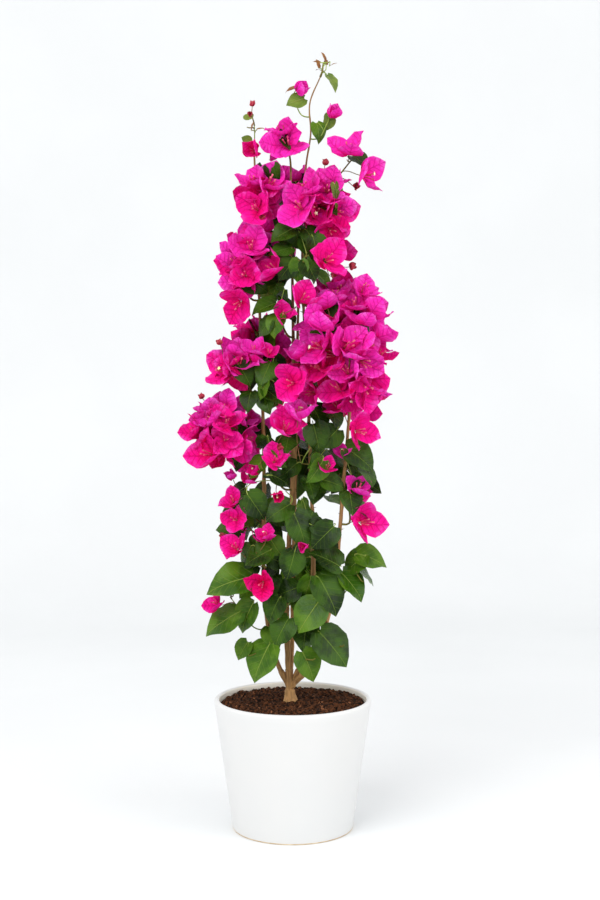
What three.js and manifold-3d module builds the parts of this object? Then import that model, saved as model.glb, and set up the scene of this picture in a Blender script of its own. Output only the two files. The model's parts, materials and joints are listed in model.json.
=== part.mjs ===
// A potted bougainvillea. One short trunk forks just above the soil into five woody stems,
// which fan out and rise to a narrow crown of magenta bracts and heart-shaped leaves, in a
// plain white pot that tapers to its foot.
//
// Millimetres, +Z up. The origin is the centre of the pot's flat underside, -Y is the front.

import * as THREE from 'three';
import { mergeVertices } from 'three/addons/utils/BufferGeometryUtils.js';
import Module from 'manifold-3d';

const wasm = await Module();
wasm.setup();

// ---- Driving dimensions --------------------------------------------------------------------

const GAP = 0.3;                 // clearance left where two pieces meet

const POT_HEIGHT = 207.5;
const POT_RIM_RADIUS = 125;
const POT_FOOT_RADIUS = 96;
const POT_WALL = 8.3;
const POT_FLOOR = 9;
const POT_SEGMENTS = 40;
const LIP_STEPS = 2;             // steps round each half of the rounded lip

const SOIL_BELOW_RIM = 9;        // level of the soil at the wall
const SOIL_MOUND = 3;            // rise of the soil round the trunk
const SOIL_FLAT_RADIUS = 34;     // the level patch on the mound

const TRUNK_X = -5;              // the trunk stands a little left of the pot's centre
const TRUNK_RADIUS = 8.5;
const TRUNK_FLARE = 13;
const FORK_RISE = 17;            // height of the fork above the soil
const ARM_LENGTH = 34;           // how far the trunk's arms reach along the stems
const SHOOT_ARM = 16;            // and along the low shoot
const LIMB_SIDES = 6;
const LIMB_STEP = 46;            // spacing of the rings along a stem
const TRUNK_SIDES = 10;
const TRUNK_LEAN = 1.5;          // how far the foot stands right of the fork

const KNEE_RISE = 55;            // the stems lean out to this height above the fork,
const KNEE_SHARE = 0.6;          // by this share of their spread,
const FAN_HEIGHT = 360;          // have their full spread at this height,
const WAIST_HEIGHT = 610;        // and rise past this one to their tips

const LEAF_LENGTH = 50;
const BRACT_LENGTH = 37;
const BUD_OPENING = 0.3;         // radians, how far a bud's bracts stand open
const BLOOM_OPENING = [0.75, 1.1];
const LEAF_HALF_THICKNESS = 0.02; // of its length
const TWIG_RADII = [2.4, 2.0];   // of a spray's stem, at its foot and its end
const SIDE_TWIG_RADII = [1.0, 1.6];
const STALK_RADII = [0.6, 1.1];  // of a leaf's or a bloom's stalk, at its foot and its end
const JOINT_STEP = 5;            // spacing of the places that stalks start from
const STALK_REACH = 52;          // the longest stalk
const SHORTEST_STALK = 5;
const TWIG_STEP = 22;            // spacing of the joints along a spray's stem
const LOAD_OF_A_TWIG = 5;        // a spray gets one side twig for this many leaves and blooms
const STEM_OVERRUN = 0.3;        // how far a stem passes the centre, in the least half size
const STEM_SETBACK = 0.4;        // and how far it ends behind it
const TWIG_SHARE = 0.55;         // how far out side twigs end, of the half sizes
const TIP_ROOM = 17;             // how far tips may stand out of a spray's half sizes
const BLOOM_DEPTH = 0.55;        // how far in a bloom's base is, in bract lengths
const LEAF_DEPTH = 0.22;         // how far in a leaf's middle is, in leaf lengths
const BLOOM_THICKNESS = 0.14;    // of a bloom at its heart, in bract lengths
const BLOOM_SPACING = 1.0;       // between two blooms' middles, in bract lengths
const LEAF_SPACING = 0.5;        // between two leaves' middles, in leaf lengths
const BUD_LENGTH = 20;           // bracts shorter than this are buds
const TRIES = 60;                // tries for each leaf or bloom that a spray should have
const FRONT_LIMIT = 12;          // sprays with a smaller Y than this face the front
const BEAD_STEP = 4;             // spacing of the points that other pieces keep clear of
const SEED = 2024;
const CELL_MARGIN = 0.8;         // how far a piece keeps from the edge of its spray's space
const LIMB_MARGIN = 1.0;         // and from another spray's stem or a limb

// Each stem's spread is its place at FAN_HEIGHT and at WAIST_HEIGHT, and then comes its tip.
const STEMS = [
  { name: 'stem_left', radii: [4.6, 1.7], fan: [-44, 2], waist: [-46, 0], tip: [-60, 0, 1062] },
  { name: 'stem_main', radii: [5.6, 1.7], fan: [-10, -4], waist: [1, -7], tip: [-3, -6, 1040] },
  { name: 'stem_middle', radii: [4.6, 2.4], fan: [31, 13], waist: [27, 10], tip: [15, 8, 868] },
  { name: 'stem_right', radii: [4.8, 2.2], fan: [60, -14], waist: [85, -5], tip: [100, 4, 792] },
  { name: 'stem_back', radii: [4.4, 2.2], fan: [0, 42], waist: [4, 54], tip: [10, 44, 900] },
];

// The leader carries the middle stem on to the top, and a low shoot leaves the fork in front.
const LEADER = { name: 'leader', radii: [2.3, 1.2],
  rise: [[19, 4, 960], [17, 0, 1028], [28, 0, 1086], [27, 0, 1146], [44, 0, 1188]] };
const SHOOT = { name: 'low_shoot', radii: [1.9, 1.3], rise: [[6, -12, 236], [24, -22, 258]] };

// The sprays. Each hangs on a limb, from the height `from` up, round its centre at `at`, with
// its half sizes in `half`. A `tip` spray goes on from its limb's end.
const SPRAYS = [
  // the tips of the leader and of the left stem
  { name: 'leader_tip', limb: 'leader', tip: true, at: [50, 0, 1205], half: [18, 14, 15],
    blooms: 0, leaves: 6, leaf: 17 },
  { name: 'leader_buds_left', limb: 'leader', from: 1124, at: [4, -2, 1156], half: [14, 12, 20],
    blooms: 1, leaves: 2, leaf: 26, bract: 17 },
  { name: 'leader_buds_right', limb: 'leader', from: 1090, at: [58, -2, 1118], half: [18, 14, 24],
    blooms: 1, leaves: 2, leaf: 30, bract: 17 },
  { name: 'left_tip', limb: 'stem_left', tip: true, at: [-63, 0, 1108], half: [16, 14, 38],
    blooms: 3, leaves: 4, leaf: 20, bract: 15 },
  // the top of the crown
  { name: 'crest', limb: 'stem_main', tip: true, at: [-13, -8, 1086], half: [28, 26, 28],
    blooms: 3, leaves: 1 },
  { name: 'top_left', limb: 'stem_left', from: 966, at: [-54, -16, 1010], half: [44, 38, 42],
    blooms: 6, leaves: 1 },
  { name: 'top_front', limb: 'leader', from: 938, at: [42, -30, 992], half: [54, 40, 46],
    blooms: 9, leaves: 2 },
  { name: 'top_right', limb: 'leader', from: 1000, at: [94, 0, 1056], half: [30, 24, 26],
    blooms: 3, leaves: 0 },
  // the upper crown
  { name: 'high_left', limb: 'stem_left', from: 838, at: [-84, -10, 888], half: [38, 36, 62],
    blooms: 9, leaves: 2 },
  { name: 'high_front', limb: 'stem_main', from: 846, at: [20, -42, 894], half: [54, 34, 46],
    blooms: 5, leaves: 6, leaf: 40 },
  { name: 'shoulder_front', limb: 'stem_main', from: 780, at: [-22, -42, 812], half: [38, 30, 36],
    blooms: 3, leaves: 4, leaf: 40 },
  // the dense clump on the right
  { name: 'clump', limb: 'stem_right', from: 668, at: [78, -32, 752], half: [82, 64, 116],
    blooms: 25, leaves: 0 },
  // the left side
  { name: 'spray_left', limb: 'stem_left', from: 690, at: [-86, -16, 742], half: [54, 38, 40],
    blooms: 8, leaves: 2, leaf: 36 },
  { name: 'inner_left', limb: 'stem_main', from: 684, at: [-36, -40, 708], half: [26, 28, 42],
    blooms: 1, leaves: 5, leaf: 40 },
  { name: 'cluster_left', limb: 'stem_left', from: 588, at: [-112, -14, 636], half: [52, 52, 56],
    blooms: 12, leaves: 0 },
  // the leafy waist
  { name: 'waist_front', limb: 'stem_middle', from: 540, at: [36, -34, 574], half: [50, 42, 46],
    blooms: 0, leaves: 8 },
  { name: 'waist_left', limb: 'stem_main', from: 540, at: [-36, -38, 578], half: [32, 34, 42],
    blooms: 2, leaves: 4, bract: 30 },
  { name: 'waist_right', limb: 'stem_right', from: 486, at: [100, -12, 526], half: [40, 36, 46],
    blooms: 2, leaves: 5 },
  { name: 'lower_left', limb: 'stem_left', from: 470, at: [-86, -10, 504], half: [34, 32, 40],
    blooms: 3, leaves: 2, bract: 30 },
  { name: 'lower_front', limb: 'stem_middle', from: 440, at: [24, -34, 474], half: [48, 38, 42],
    blooms: 0, leaves: 8 },
  { name: 'lower_centre', limb: 'stem_left', from: 404, at: [-52, -34, 434], half: [40, 34, 42],
    blooms: 3, leaves: 4, bract: 32 },
  // the big leaves over the pot
  { name: 'low_right', limb: 'stem_right', from: 374, at: [100, -12, 404], half: [34, 26, 30],
    blooms: 0, leaves: 4, leaf: 46 },
  { name: 'low_left', limb: 'stem_left', from: 318, at: [-98, -14, 362], half: [46, 30, 56],
    blooms: 1, leaves: 5, leaf: 58, bract: 22 },
  { name: 'low_front_left', limb: 'stem_main', from: 306, at: [-28, -46, 336], half: [32, 26, 30],
    blooms: 0, leaves: 3, leaf: 50 },
  { name: 'low_front_right', limb: 'stem_middle', from: 330, at: [38, -35, 364],
    half: [38, 28, 34], blooms: 0, leaves: 4, leaf: 54 },
  { name: 'foot_right', limb: 'stem_right', from: 282, at: [70, -34, 292], half: [26, 22, 26],
    blooms: 0, leaves: 2, leaf: 54 },
  { name: 'foot_front', limb: 'low_shoot', tip: true, at: [22, -48, 274], half: [30, 24, 24],
    blooms: 0, leaves: 3, leaf: 42 },
  { name: 'foot_left', limb: 'stem_left', from: 262, at: [-54, -32, 280], half: [34, 24, 24],
    blooms: 0, leaves: 3, leaf: 50 },
  // the back of the crown
  { name: 'back_crest', limb: 'leader', from: 974, at: [2, 36, 1024], half: [44, 34, 44],
    blooms: 4, leaves: 1 },
  { name: 'back_top_right', limb: 'leader', from: 906, at: [62, 44, 942], half: [46, 36, 50],
    blooms: 4, leaves: 2 },
  { name: 'back_top_left', limb: 'stem_left', from: 880, at: [-50, 42, 914], half: [46, 38, 56],
    blooms: 5, leaves: 2 },
  { name: 'back_clump_upper', limb: 'stem_back', from: 786, at: [74, 66, 832], half: [60, 46, 54],
    blooms: 8, leaves: 1 },
  { name: 'back_clump_lower', limb: 'stem_right', from: 660, at: [92, 60, 704], half: [60, 50, 58],
    blooms: 7, leaves: 1 },
  { name: 'back_left', limb: 'stem_left', from: 728, at: [-66, 54, 776], half: [52, 46, 58],
    blooms: 6, leaves: 2 },
  { name: 'back_centre', limb: 'stem_back', from: 660, at: [2, 92, 712], half: [46, 40, 56],
    blooms: 5, leaves: 2 },
  { name: 'back_cluster', limb: 'stem_left', from: 574, at: [-90, 52, 622], half: [56, 48, 58],
    blooms: 7, leaves: 1 },
  { name: 'back_waist', limb: 'stem_back', from: 540, at: [8, 88, 578], half: [54, 42, 52],
    blooms: 2, leaves: 5 },
  { name: 'back_lower_right', limb: 'stem_right', from: 520, at: [86, 44, 548],
    half: [46, 38, 50], blooms: 1, leaves: 5 },
  { name: 'back_lower_left', limb: 'stem_back', from: 440, at: [-52, 58, 478],
    half: [50, 42, 52], blooms: 1, leaves: 5 },
  { name: 'back_low', limb: 'stem_back', from: 350, at: [28, 66, 392], half: [48, 38, 52],
    blooms: 0, leaves: 6, leaf: 56 },
];

// ---- Materials -----------------------------------------------------------------------------

const MATERIALS = {
  pot: new THREE.MeshStandardMaterial({ color: 0xf2f1ee, roughness: 0.45, metalness: 0 }),
  soil: new THREE.MeshStandardMaterial({ color: 0x38241a, roughness: 0.95, metalness: 0 }),
  bark: new THREE.MeshStandardMaterial({ color: 0x8a6a45, roughness: 0.85, metalness: 0 }),
  flowering: new THREE.MeshStandardMaterial({ color: 0xd9178c, roughness: 0.7, metalness: 0 }),
  leafy: new THREE.MeshStandardMaterial({ color: 0x2f6b35, roughness: 0.6, metalness: 0 }),
};

// ---- Small helpers -------------------------------------------------------------------------

const UP = new THREE.Vector3(0, 0, 1);
const vector = (place) => new THREE.Vector3(...place);
const mix = (low, high, share) => low + (high - low) * share;

/** A seeded stream of numbers between two limits. */
function randomStream(seed) {
  let state = seed;
  return (low, high) => {
    state = (state * 1664525 + 1013904223) % 4294967296;
    return mix(low, high, state / 4294967296);
  };
}

/** The part of a direction that is square to another, at unit length. */
function squareTo(direction, axis) {
  const across = direction.clone().addScaledVector(axis, -direction.dot(axis));
  if (across.length() < 1e-3) {
    across.set(1, 0.3, 0.2).addScaledVector(axis, -axis.dot(new THREE.Vector3(1, 0.3, 0.2)));
  }
  return across.normalize();
}

/** A solid from a closed list of vertices and faces. */
function solid({ vertices, faces }) {
  return new wasm.Manifold(new wasm.Mesh({
    numProp: 3,
    vertProperties: new Float32Array(vertices.flatMap((vertex) => vertex.toArray())),
    triVerts: new Uint32Array(faces.flat()),
  }));
}

/** A solid from a closed three.js geometry. */
function solidOfGeometry(geometry) {
  geometry.deleteAttribute('normal');
  geometry.deleteAttribute('uv');
  const merged = mergeVertices(geometry, 1e-4);
  return new wasm.Manifold(new wasm.Mesh({
    numProp: 3,
    vertProperties: new Float32Array(merged.attributes.position.array),
    triVerts: new Uint32Array(merged.index.array),
  }));
}

/** Joins solids into one body: sealed hollows are filled and loose scraps dropped. */
function fuse(solids) {
  const bodies = wasm.Manifold.union(solids).decompose();
  return bodies.reduce((best, body) => (body.volume() > best.volume() ? body : best));
}

/** A named mesh of a solid. */
function pieceMesh(name, body, material) {
  const { vertProperties, triVerts } = body.getMesh();
  const geometry = new THREE.BufferGeometry();
  geometry.setAttribute('position', new THREE.BufferAttribute(vertProperties, 3));
  geometry.setIndex(new THREE.BufferAttribute(triVerts, 1));
  geometry.computeVertexNormals();
  const mesh = new THREE.Mesh(geometry, material);
  mesh.name = name;
  return mesh;
}

// ---- Tubes, leaves and blooms ----------------------------------------------------------------

/**
 * The vertices and side faces of a tapering tube along a path, open at its far end, where it
 * runs in the direction `onward`. A corner of its last ring points away from `upper`.
 */
function openTube(path, radii, sides, upper, onward) {
  const tangents = path.map((point, i) => path[Math.min(i + 1, path.length - 1)].clone()
    .sub(path[Math.max(i - 1, 0)]).normalize());
  if (onward) tangents[path.length - 1] = onward;
  const rings = [];
  let normal = upper;
  for (let i = path.length - 1; i >= 0; i--) {
    normal = squareTo(normal, tangents[i]);
    const binormal = tangents[i].clone().cross(normal);
    const ring = [];
    for (let side = 0; side < sides; side++) {
      const angle = Math.PI * (1 / 3 + 2 * side / sides);
      ring.push(path[i].clone().addScaledVector(normal, radii[i] * Math.cos(angle))
        .addScaledVector(binormal, radii[i] * Math.sin(angle)));
    }
    rings.unshift(ring);
  }
  const faces = [];
  for (let side = 1; side < sides - 1; side++) faces.push([0, side + 1, side]);
  for (let i = 0; i < path.length - 1; i++) {
    for (let side = 0; side < sides; side++) {
      const [a, b] = [i * sides + side, i * sides + (side + 1) % sides];
      faces.push([a, b, b + sides], [a, b + sides, a + sides]);
    }
  }
  return { vertices: rings.flat(), faces };
}

/** A closed tapering tube with flat ends. */
function tube(path, radii, sides, upper = new THREE.Vector3(0, -1, 0)) {
  const { vertices, faces } = openTube(path, radii, sides, upper);
  const last = vertices.length - sides;
  for (let side = 1; side < sides - 1; side++) faces.push([last, last + side, last + side + 1]);
  return { vertices, faces };
}

/** How far a leaf's blade stands above its base, folded along the midrib and drooping. */
function leafLift(x, y) {
  return 0.22 * Math.abs(y) - 0.2 * x * x;
}

/** A leaf on its stalk: a folded, drooping heart with a thick midrib and thin edges. */
function leafOnStalk(leaf) {
  const { base, along, face, length, stalk } = leaf;
  const side = along.clone().cross(face);
  const at = (x, y, lift = 0) => base.clone().addScaledVector(along, x * length)
    .addScaledVector(side, y * length)
    .addScaledVector(face, length * (leafLift(x, y) + lift));
  const { vertices, faces } = openTube(stalk, stalkRadii(stalk), 3, face, along);
  const right = vertices.length - 3;
  const [below, left, blade] = [right + 1, right + 2, right + 3];
  const rim = [[0.02, 0.3], [0.48, 0.38], [1, 0], [0.48, -0.38], [0.02, -0.3]];
  vertices.push(...rim.map(([x, y]) => at(x, y)));
  vertices.push(at(0.4, 0, LEAF_HALF_THICKNESS), at(0.4, 0, -LEAF_HALF_THICKNESS));
  const [top, bottom] = [blade + rim.length, blade + rim.length + 1];
  const edge = [right, ...rim.map((point, i) => blade + i), left];
  for (let i = 0; i < edge.length - 1; i++) {
    faces.push([edge[i], edge[i + 1], top], [edge[i + 1], edge[i], bottom]);
  }
  faces.push([left, right, top], [right, below, bottom], [below, left, bottom]);
  return { vertices, faces };
}

/** A bloom on its stalk: three pointed bracts round one heart, as one closed shell. */
function bloomOnStalk(bloom) {
  const { base, along, face, length, opening, stalk } = bloom;
  const side = along.clone().cross(face);
  const at = (height, out, angle, across = 0) => base.clone()
    .addScaledVector(along, height * length)
    .addScaledVector(face, length * (out * Math.cos(angle) - across * Math.sin(angle)))
    .addScaledVector(side, length * (out * Math.sin(angle) + across * Math.cos(angle)));
  const { vertices, faces } = openTube(stalk, stalkRadii(stalk), 3, face, along);
  const ring = vertices.length - 3;
  const heart = ring + 3;
  vertices.push(at(BLOOM_THICKNESS, 0, 0));
  const middle = 0.16 + 0.3 * Math.sin(opening);
  const width = Math.min(0.4, 1.1 * middle);
  for (let bract = 0; bract < 3; bract++) {
    const angle = Math.PI * (1 / 3 + 2 * bract / 3);
    vertices.push(at(0.44, middle, angle, -width));
    vertices.push(at(Math.cos(opening), Math.sin(opening), angle));
    vertices.push(at(0.44, middle, angle, width));
    vertices.push(at(0.2, 0.2, angle + Math.PI / 3));
  }
  for (let bract = 0; bract < 3; bract++) {
    const root = ring + bract;
    const nextRoot = ring + (bract + 1) % 3;
    const [from, tip, to, valley] = [1, 2, 3, 4].map((i) => heart + 4 * bract + i);
    const next = heart + 4 * ((bract + 1) % 3) + 1;
    faces.push([heart, from, tip], [heart, tip, to], [heart, to, valley], [heart, valley, next]);
    faces.push([root, tip, from], [root, to, tip], [root, valley, to], [nextRoot, next, valley]);
    faces.push([root, nextRoot, valley]);
  }
  return { vertices, faces };
}

function stalkRadii(stalk) {
  return stalk.map((point, i) => mix(...STALK_RADII, i / (stalk.length - 1)));
}

// ---- Pot and soil ----------------------------------------------------------------------------

const SOIL_TOP = POT_HEIGHT - SOIL_BELOW_RIM + SOIL_MOUND;

/** The inner radius of the pot at a height. */
function potInside(height) {
  return mix(POT_FOOT_RADIUS, POT_RIM_RADIUS, height / POT_HEIGHT) - POT_WALL;
}

function pot() {
  const profile = [new THREE.Vector2(0, 0), new THREE.Vector2(POT_FOOT_RADIUS - 2, 0)];
  profile.push(new THREE.Vector2(POT_FOOT_RADIUS, 2));
  const lip = POT_WALL / 2;
  for (let step = 0; step <= 2 * LIP_STEPS; step++) {
    const angle = Math.PI * step / (2 * LIP_STEPS);
    profile.push(new THREE.Vector2(
      POT_RIM_RADIUS - lip + lip * Math.cos(angle),
      POT_HEIGHT - lip + lip * Math.sin(angle),
    ));
  }
  profile.push(new THREE.Vector2(potInside(POT_FLOOR), POT_FLOOR));
  profile.push(new THREE.Vector2(0, POT_FLOOR));
  return pieceMesh('pot', solidOfGeometry(lathe(profile)), MATERIALS.pot);
}

function soil() {
  const level = POT_HEIGHT - SOIL_BELOW_RIM;
  const foot = POT_FLOOR + GAP;
  const profile = [
    new THREE.Vector2(0, foot),
    new THREE.Vector2(potInside(foot) - 2 * GAP, foot),
    new THREE.Vector2(potInside(level) - 2 * GAP, level),
    new THREE.Vector2(mix(SOIL_FLAT_RADIUS, potInside(level), 0.5), level + 0.6 * SOIL_MOUND),
    new THREE.Vector2(SOIL_FLAT_RADIUS, SOIL_TOP),
    new THREE.Vector2(0, SOIL_TOP),
  ];
  return pieceMesh('soil', solidOfGeometry(lathe(profile)), MATERIALS.soil);
}

/** Turns a closed profile, given upward from the axis, about +Z. */
function lathe(profile) {
  const geometry = new THREE.LatheGeometry(profile, POT_SEGMENTS);
  geometry.rotateX(Math.PI / 2);
  return geometry;
}

// ---- Trunk, stems and leader -------------------------------------------------------------------

const FORK = new THREE.Vector3(TRUNK_X, 0, SOIL_TOP + FORK_RISE);

/** A limb's centre line and radii at even steps along its curve. */
function limbCourse(name, curve, radii) {
  const count = Math.max(3, Math.round(curve.getLength() / LIMB_STEP));
  const path = curve.getSpacedPoints(count);
  return { name, path, radii: path.map((point, i) => mix(radii[0], radii[1], i / count)) };
}

/** The curve of a stem from the fork by its knee, fan and waist to its tip. */
function stemCurve({ fan, waist, tip }) {
  const knee = [mix(FORK.x, fan[0], KNEE_SHARE), mix(FORK.y, fan[1], KNEE_SHARE)];
  return new THREE.CatmullRomCurve3([
    FORK,
    vector([...knee, FORK.z + KNEE_RISE]),
    vector([...fan, FAN_HEIGHT]),
    vector([...waist, WAIST_HEIGHT]),
    vector(tip),
  ]);
}

/** Cuts a course into the arm that belongs to the trunk and the limb that goes on from it. */
function cutArm(course, length) {
  const span = { covered: 0, arm: { path: [], radii: [] }, limb: null };
  for (let i = 0; i < course.path.length; i++) {
    const before = course.path[Math.max(i - 1, 0)];
    const stretch = course.path[i].distanceTo(before);
    if (!span.limb && span.covered + stretch >= length) {
      const cut = (distance) => ({
        point: before.clone().lerp(course.path[i], (distance - span.covered) / stretch),
        radius: mix(course.radii[i - 1], course.radii[i], (distance - span.covered) / stretch),
      });
      const [end, start] = [cut(length), cut(length + GAP)];
      span.arm.path.push(end.point);
      span.arm.radii.push(end.radius);
      span.limb = { name: course.name, path: [start.point], radii: [start.radius] };
    }
    const part = span.limb ?? span.arm;
    part.path.push(course.path[i]);
    part.radii.push(course.radii[i]);
    span.covered += stretch;
  }
  return [span.arm, span.limb];
}

/** The limbs by name, and the arms of the trunk that they go on from. */
function limbsAndArms() {
  const limbs = {};
  const arms = [];
  const shootCurve = new THREE.CatmullRomCurve3([FORK, ...SHOOT.rise.map(vector)]);
  const courses = STEMS.map((stem) => limbCourse(stem.name, stemCurve(stem), stem.radii));
  courses.push(limbCourse(SHOOT.name, shootCurve, SHOOT.radii));
  for (const course of courses) {
    const [arm, limb] = cutArm(course, course.name === SHOOT.name ? SHOOT_ARM : ARM_LENGTH);
    arms.push(arm);
    limbs[limb.name] = limb;
  }
  const { path, radii } = limbs.stem_middle;
  const top = path[path.length - 1];
  const upward = top.clone().sub(path[path.length - 2]).normalize();
  const leaderCurve = new THREE.CatmullRomCurve3([
    top.clone().addScaledVector(upward, GAP),
    top.clone().addScaledVector(upward, LIMB_STEP / 2),
    ...LEADER.rise.map(vector),
  ]);
  limbs[LEADER.name] = limbCourse(LEADER.name, leaderCurve, LEADER.radii);
  return { limbs, arms };
}

function trunk(arms) {
  const foot = new THREE.Vector3(TRUNK_X + TRUNK_LEAN, 0, SOIL_TOP + GAP);
  const swell = [[0, TRUNK_FLARE], [0.2, 0.82 * TRUNK_FLARE], [0.5, 1.1 * TRUNK_RADIUS],
    [1, TRUNK_RADIUS], [1.3, 0.7 * TRUNK_RADIUS]];
  const path = swell.map(([share]) => new THREE.Vector3(
    mix(foot.x, FORK.x, Math.max(0, share - swell[1][0])), 0, mix(foot.z, FORK.z, share)));
  const post = tube(path, swell.map(([, radius]) => radius), TRUNK_SIDES);
  const limbs = arms.map((arm) => solid(tube(arm.path, arm.radii, LIMB_SIDES)));
  return pieceMesh('trunk', fuse([solid(post), ...limbs]), MATERIALS.bark);
}

// ---- Sprays --------------------------------------------------------------------------------------

/** The way a spray faces: out from the crown's axis, to its own side, and a little up. */
function sprayFacing(centre) {
  const outward = new THREE.Vector3(centre.x, centre.y, 0).normalize();
  const side = new THREE.Vector3(0, centre.y < FRONT_LIMIT ? -1 : 1, 0);
  return outward.multiplyScalar(0.5).addScaledVector(side, 0.7).add(UP.clone().multiplyScalar(0.2))
    .normalize();
}

/** The centre line of a spray's stem, from its seat on the limb past the spray's centre. */
function sprayStem(spray, limb) {
  const centre = vector(spray.at);
  const { path, radii } = limb;
  let foot = path[path.length - 1];
  let away = foot.clone().sub(path[path.length - 2]).normalize();
  if (spray.tip) {
    foot = foot.clone().addScaledVector(away, GAP);
  } else {
    const i = path.findIndex((point) => point.z > spray.from);
    const share = (spray.from - path[i - 1].z) / (path[i].z - path[i - 1].z);
    const seat = path[i - 1].clone().lerp(path[i], share);
    away = squareTo(centre.clone().sub(seat), path[i].clone().sub(path[i - 1]).normalize());
    foot = seat.addScaledVector(away, mix(radii[i - 1], radii[i], share) + GAP);
  }
  const start = foot.clone().addScaledVector(away, 2 * TWIG_RADII[0]);
  const onward = centre.clone().sub(start).normalize().addScaledVector(UP, 0.3).normalize();
  const end = centre.clone().addScaledVector(onward, STEM_OVERRUN * Math.min(...spray.half))
    .addScaledVector(sprayFacing(centre), -STEM_SETBACK * Math.min(...spray.half));
  const reach = start.distanceTo(end);
  const curve = new THREE.CubicBezierCurve3(start, start.clone().addScaledVector(away, 0.3 * reach),
    end.clone().addScaledVector(onward, -0.4 * reach), end);
  return [foot, ...curve.getPoints(Math.max(3, Math.round(reach / TWIG_STEP)))];
}

/** Points with radii at even steps along a path, for keeping other pieces clear of it. */
function beads(path, radii, owner) {
  const list = [];
  for (let i = 1; i < path.length; i++) {
    const count = Math.ceil(path[i].distanceTo(path[i - 1]) / BEAD_STEP);
    for (let k = 0; k <= count; k++) {
      list.push({
        point: path[i - 1].clone().lerp(path[i], k / count),
        radius: mix(radii[i - 1], radii[i], k / count),
        owner,
      });
    }
  }
  return list;
}

/** Whether a point lies in a spray's ellipsoid and nearer to it than to any other spray. */
function inSpace(point, own, sprays) {
  const { centre, space, weight } = sprays[own];
  const offset = point.clone().sub(centre).divide(space);
  if (offset.lengthSq() > 1) return false;
  const power = point.distanceToSquared(centre) - weight * weight;
  return sprays.every((other, i) => {
    if (i === own) return true;
    const otherPower = point.distanceToSquared(other.centre) - other.weight * other.weight;
    return otherPower - power > 2 * CELL_MARGIN * centre.distanceTo(other.centre);
  });
}

/** The distance of a point from the stretch between two others. */
function distanceToStretch(point, from, to) {
  return new THREE.Line3(from, to).closestPointToPoint(point, true, new THREE.Vector3())
    .distanceTo(point);
}

/** Whether a path of some radius keeps clear of limbs and of other sprays' stems. */
function pathIsClear(path, radius, own, obstacles) {
  return obstacles.every((bead) => {
    if (bead.owner === own || bead.owner === undefined) return true;
    const room = bead.radius + radius + LIMB_MARGIN;
    return path.every((point, i) => i === 0
      || distanceToStretch(bead.point, path[i - 1], point) > room);
  });
}

/** How far a bead lies along, across and above a leaf or bloom, in its lengths. */
function placeOn(piece, bead) {
  const offset = bead.point.clone().sub(piece.base).divideScalar(piece.length);
  const side = piece.along.clone().cross(piece.face);
  return [offset.dot(piece.along), offset.dot(side), offset.dot(piece.face)];
}

/** Whether a bead comes within some room of a leaf's blade. */
function touchesLeaf(leaf, bead, room) {
  const [x, y, lift] = placeOn(leaf, bead);
  if (x < -room || x > 1 + room || Math.abs(y) > 0.38 + room) return false;
  return Math.abs(lift - leafLift(x, y)) < room + 2 * LEAF_HALF_THICKNESS;
}

/** Whether a bead comes within some room of a bloom's bracts. */
function touchesBloom(bloom, bead, room) {
  const [height, y, z] = placeOn(bloom, bead);
  const out = Math.hypot(y, z);
  if (height < -room || out > Math.sin(bloom.opening) + room) return false;
  return height < out / Math.tan(bloom.opening) + BLOOM_THICKNESS + room
    && height > 0.5 * out / Math.tan(bloom.opening) - BLOOM_THICKNESS - room;
}

/** The nth direction of an even spread over the sphere. */
function spreadDirection(n, turn) {
  const height = 1 - 2 * ((0.5 + n * 0.7548776662) % 1);
  const angle = 2 * Math.PI * ((turn + n * 0.569840291) % 1);
  const across = Math.sqrt(1 - height * height);
  return new THREE.Vector3(across * Math.cos(angle), across * Math.sin(angle), height);
}

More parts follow.
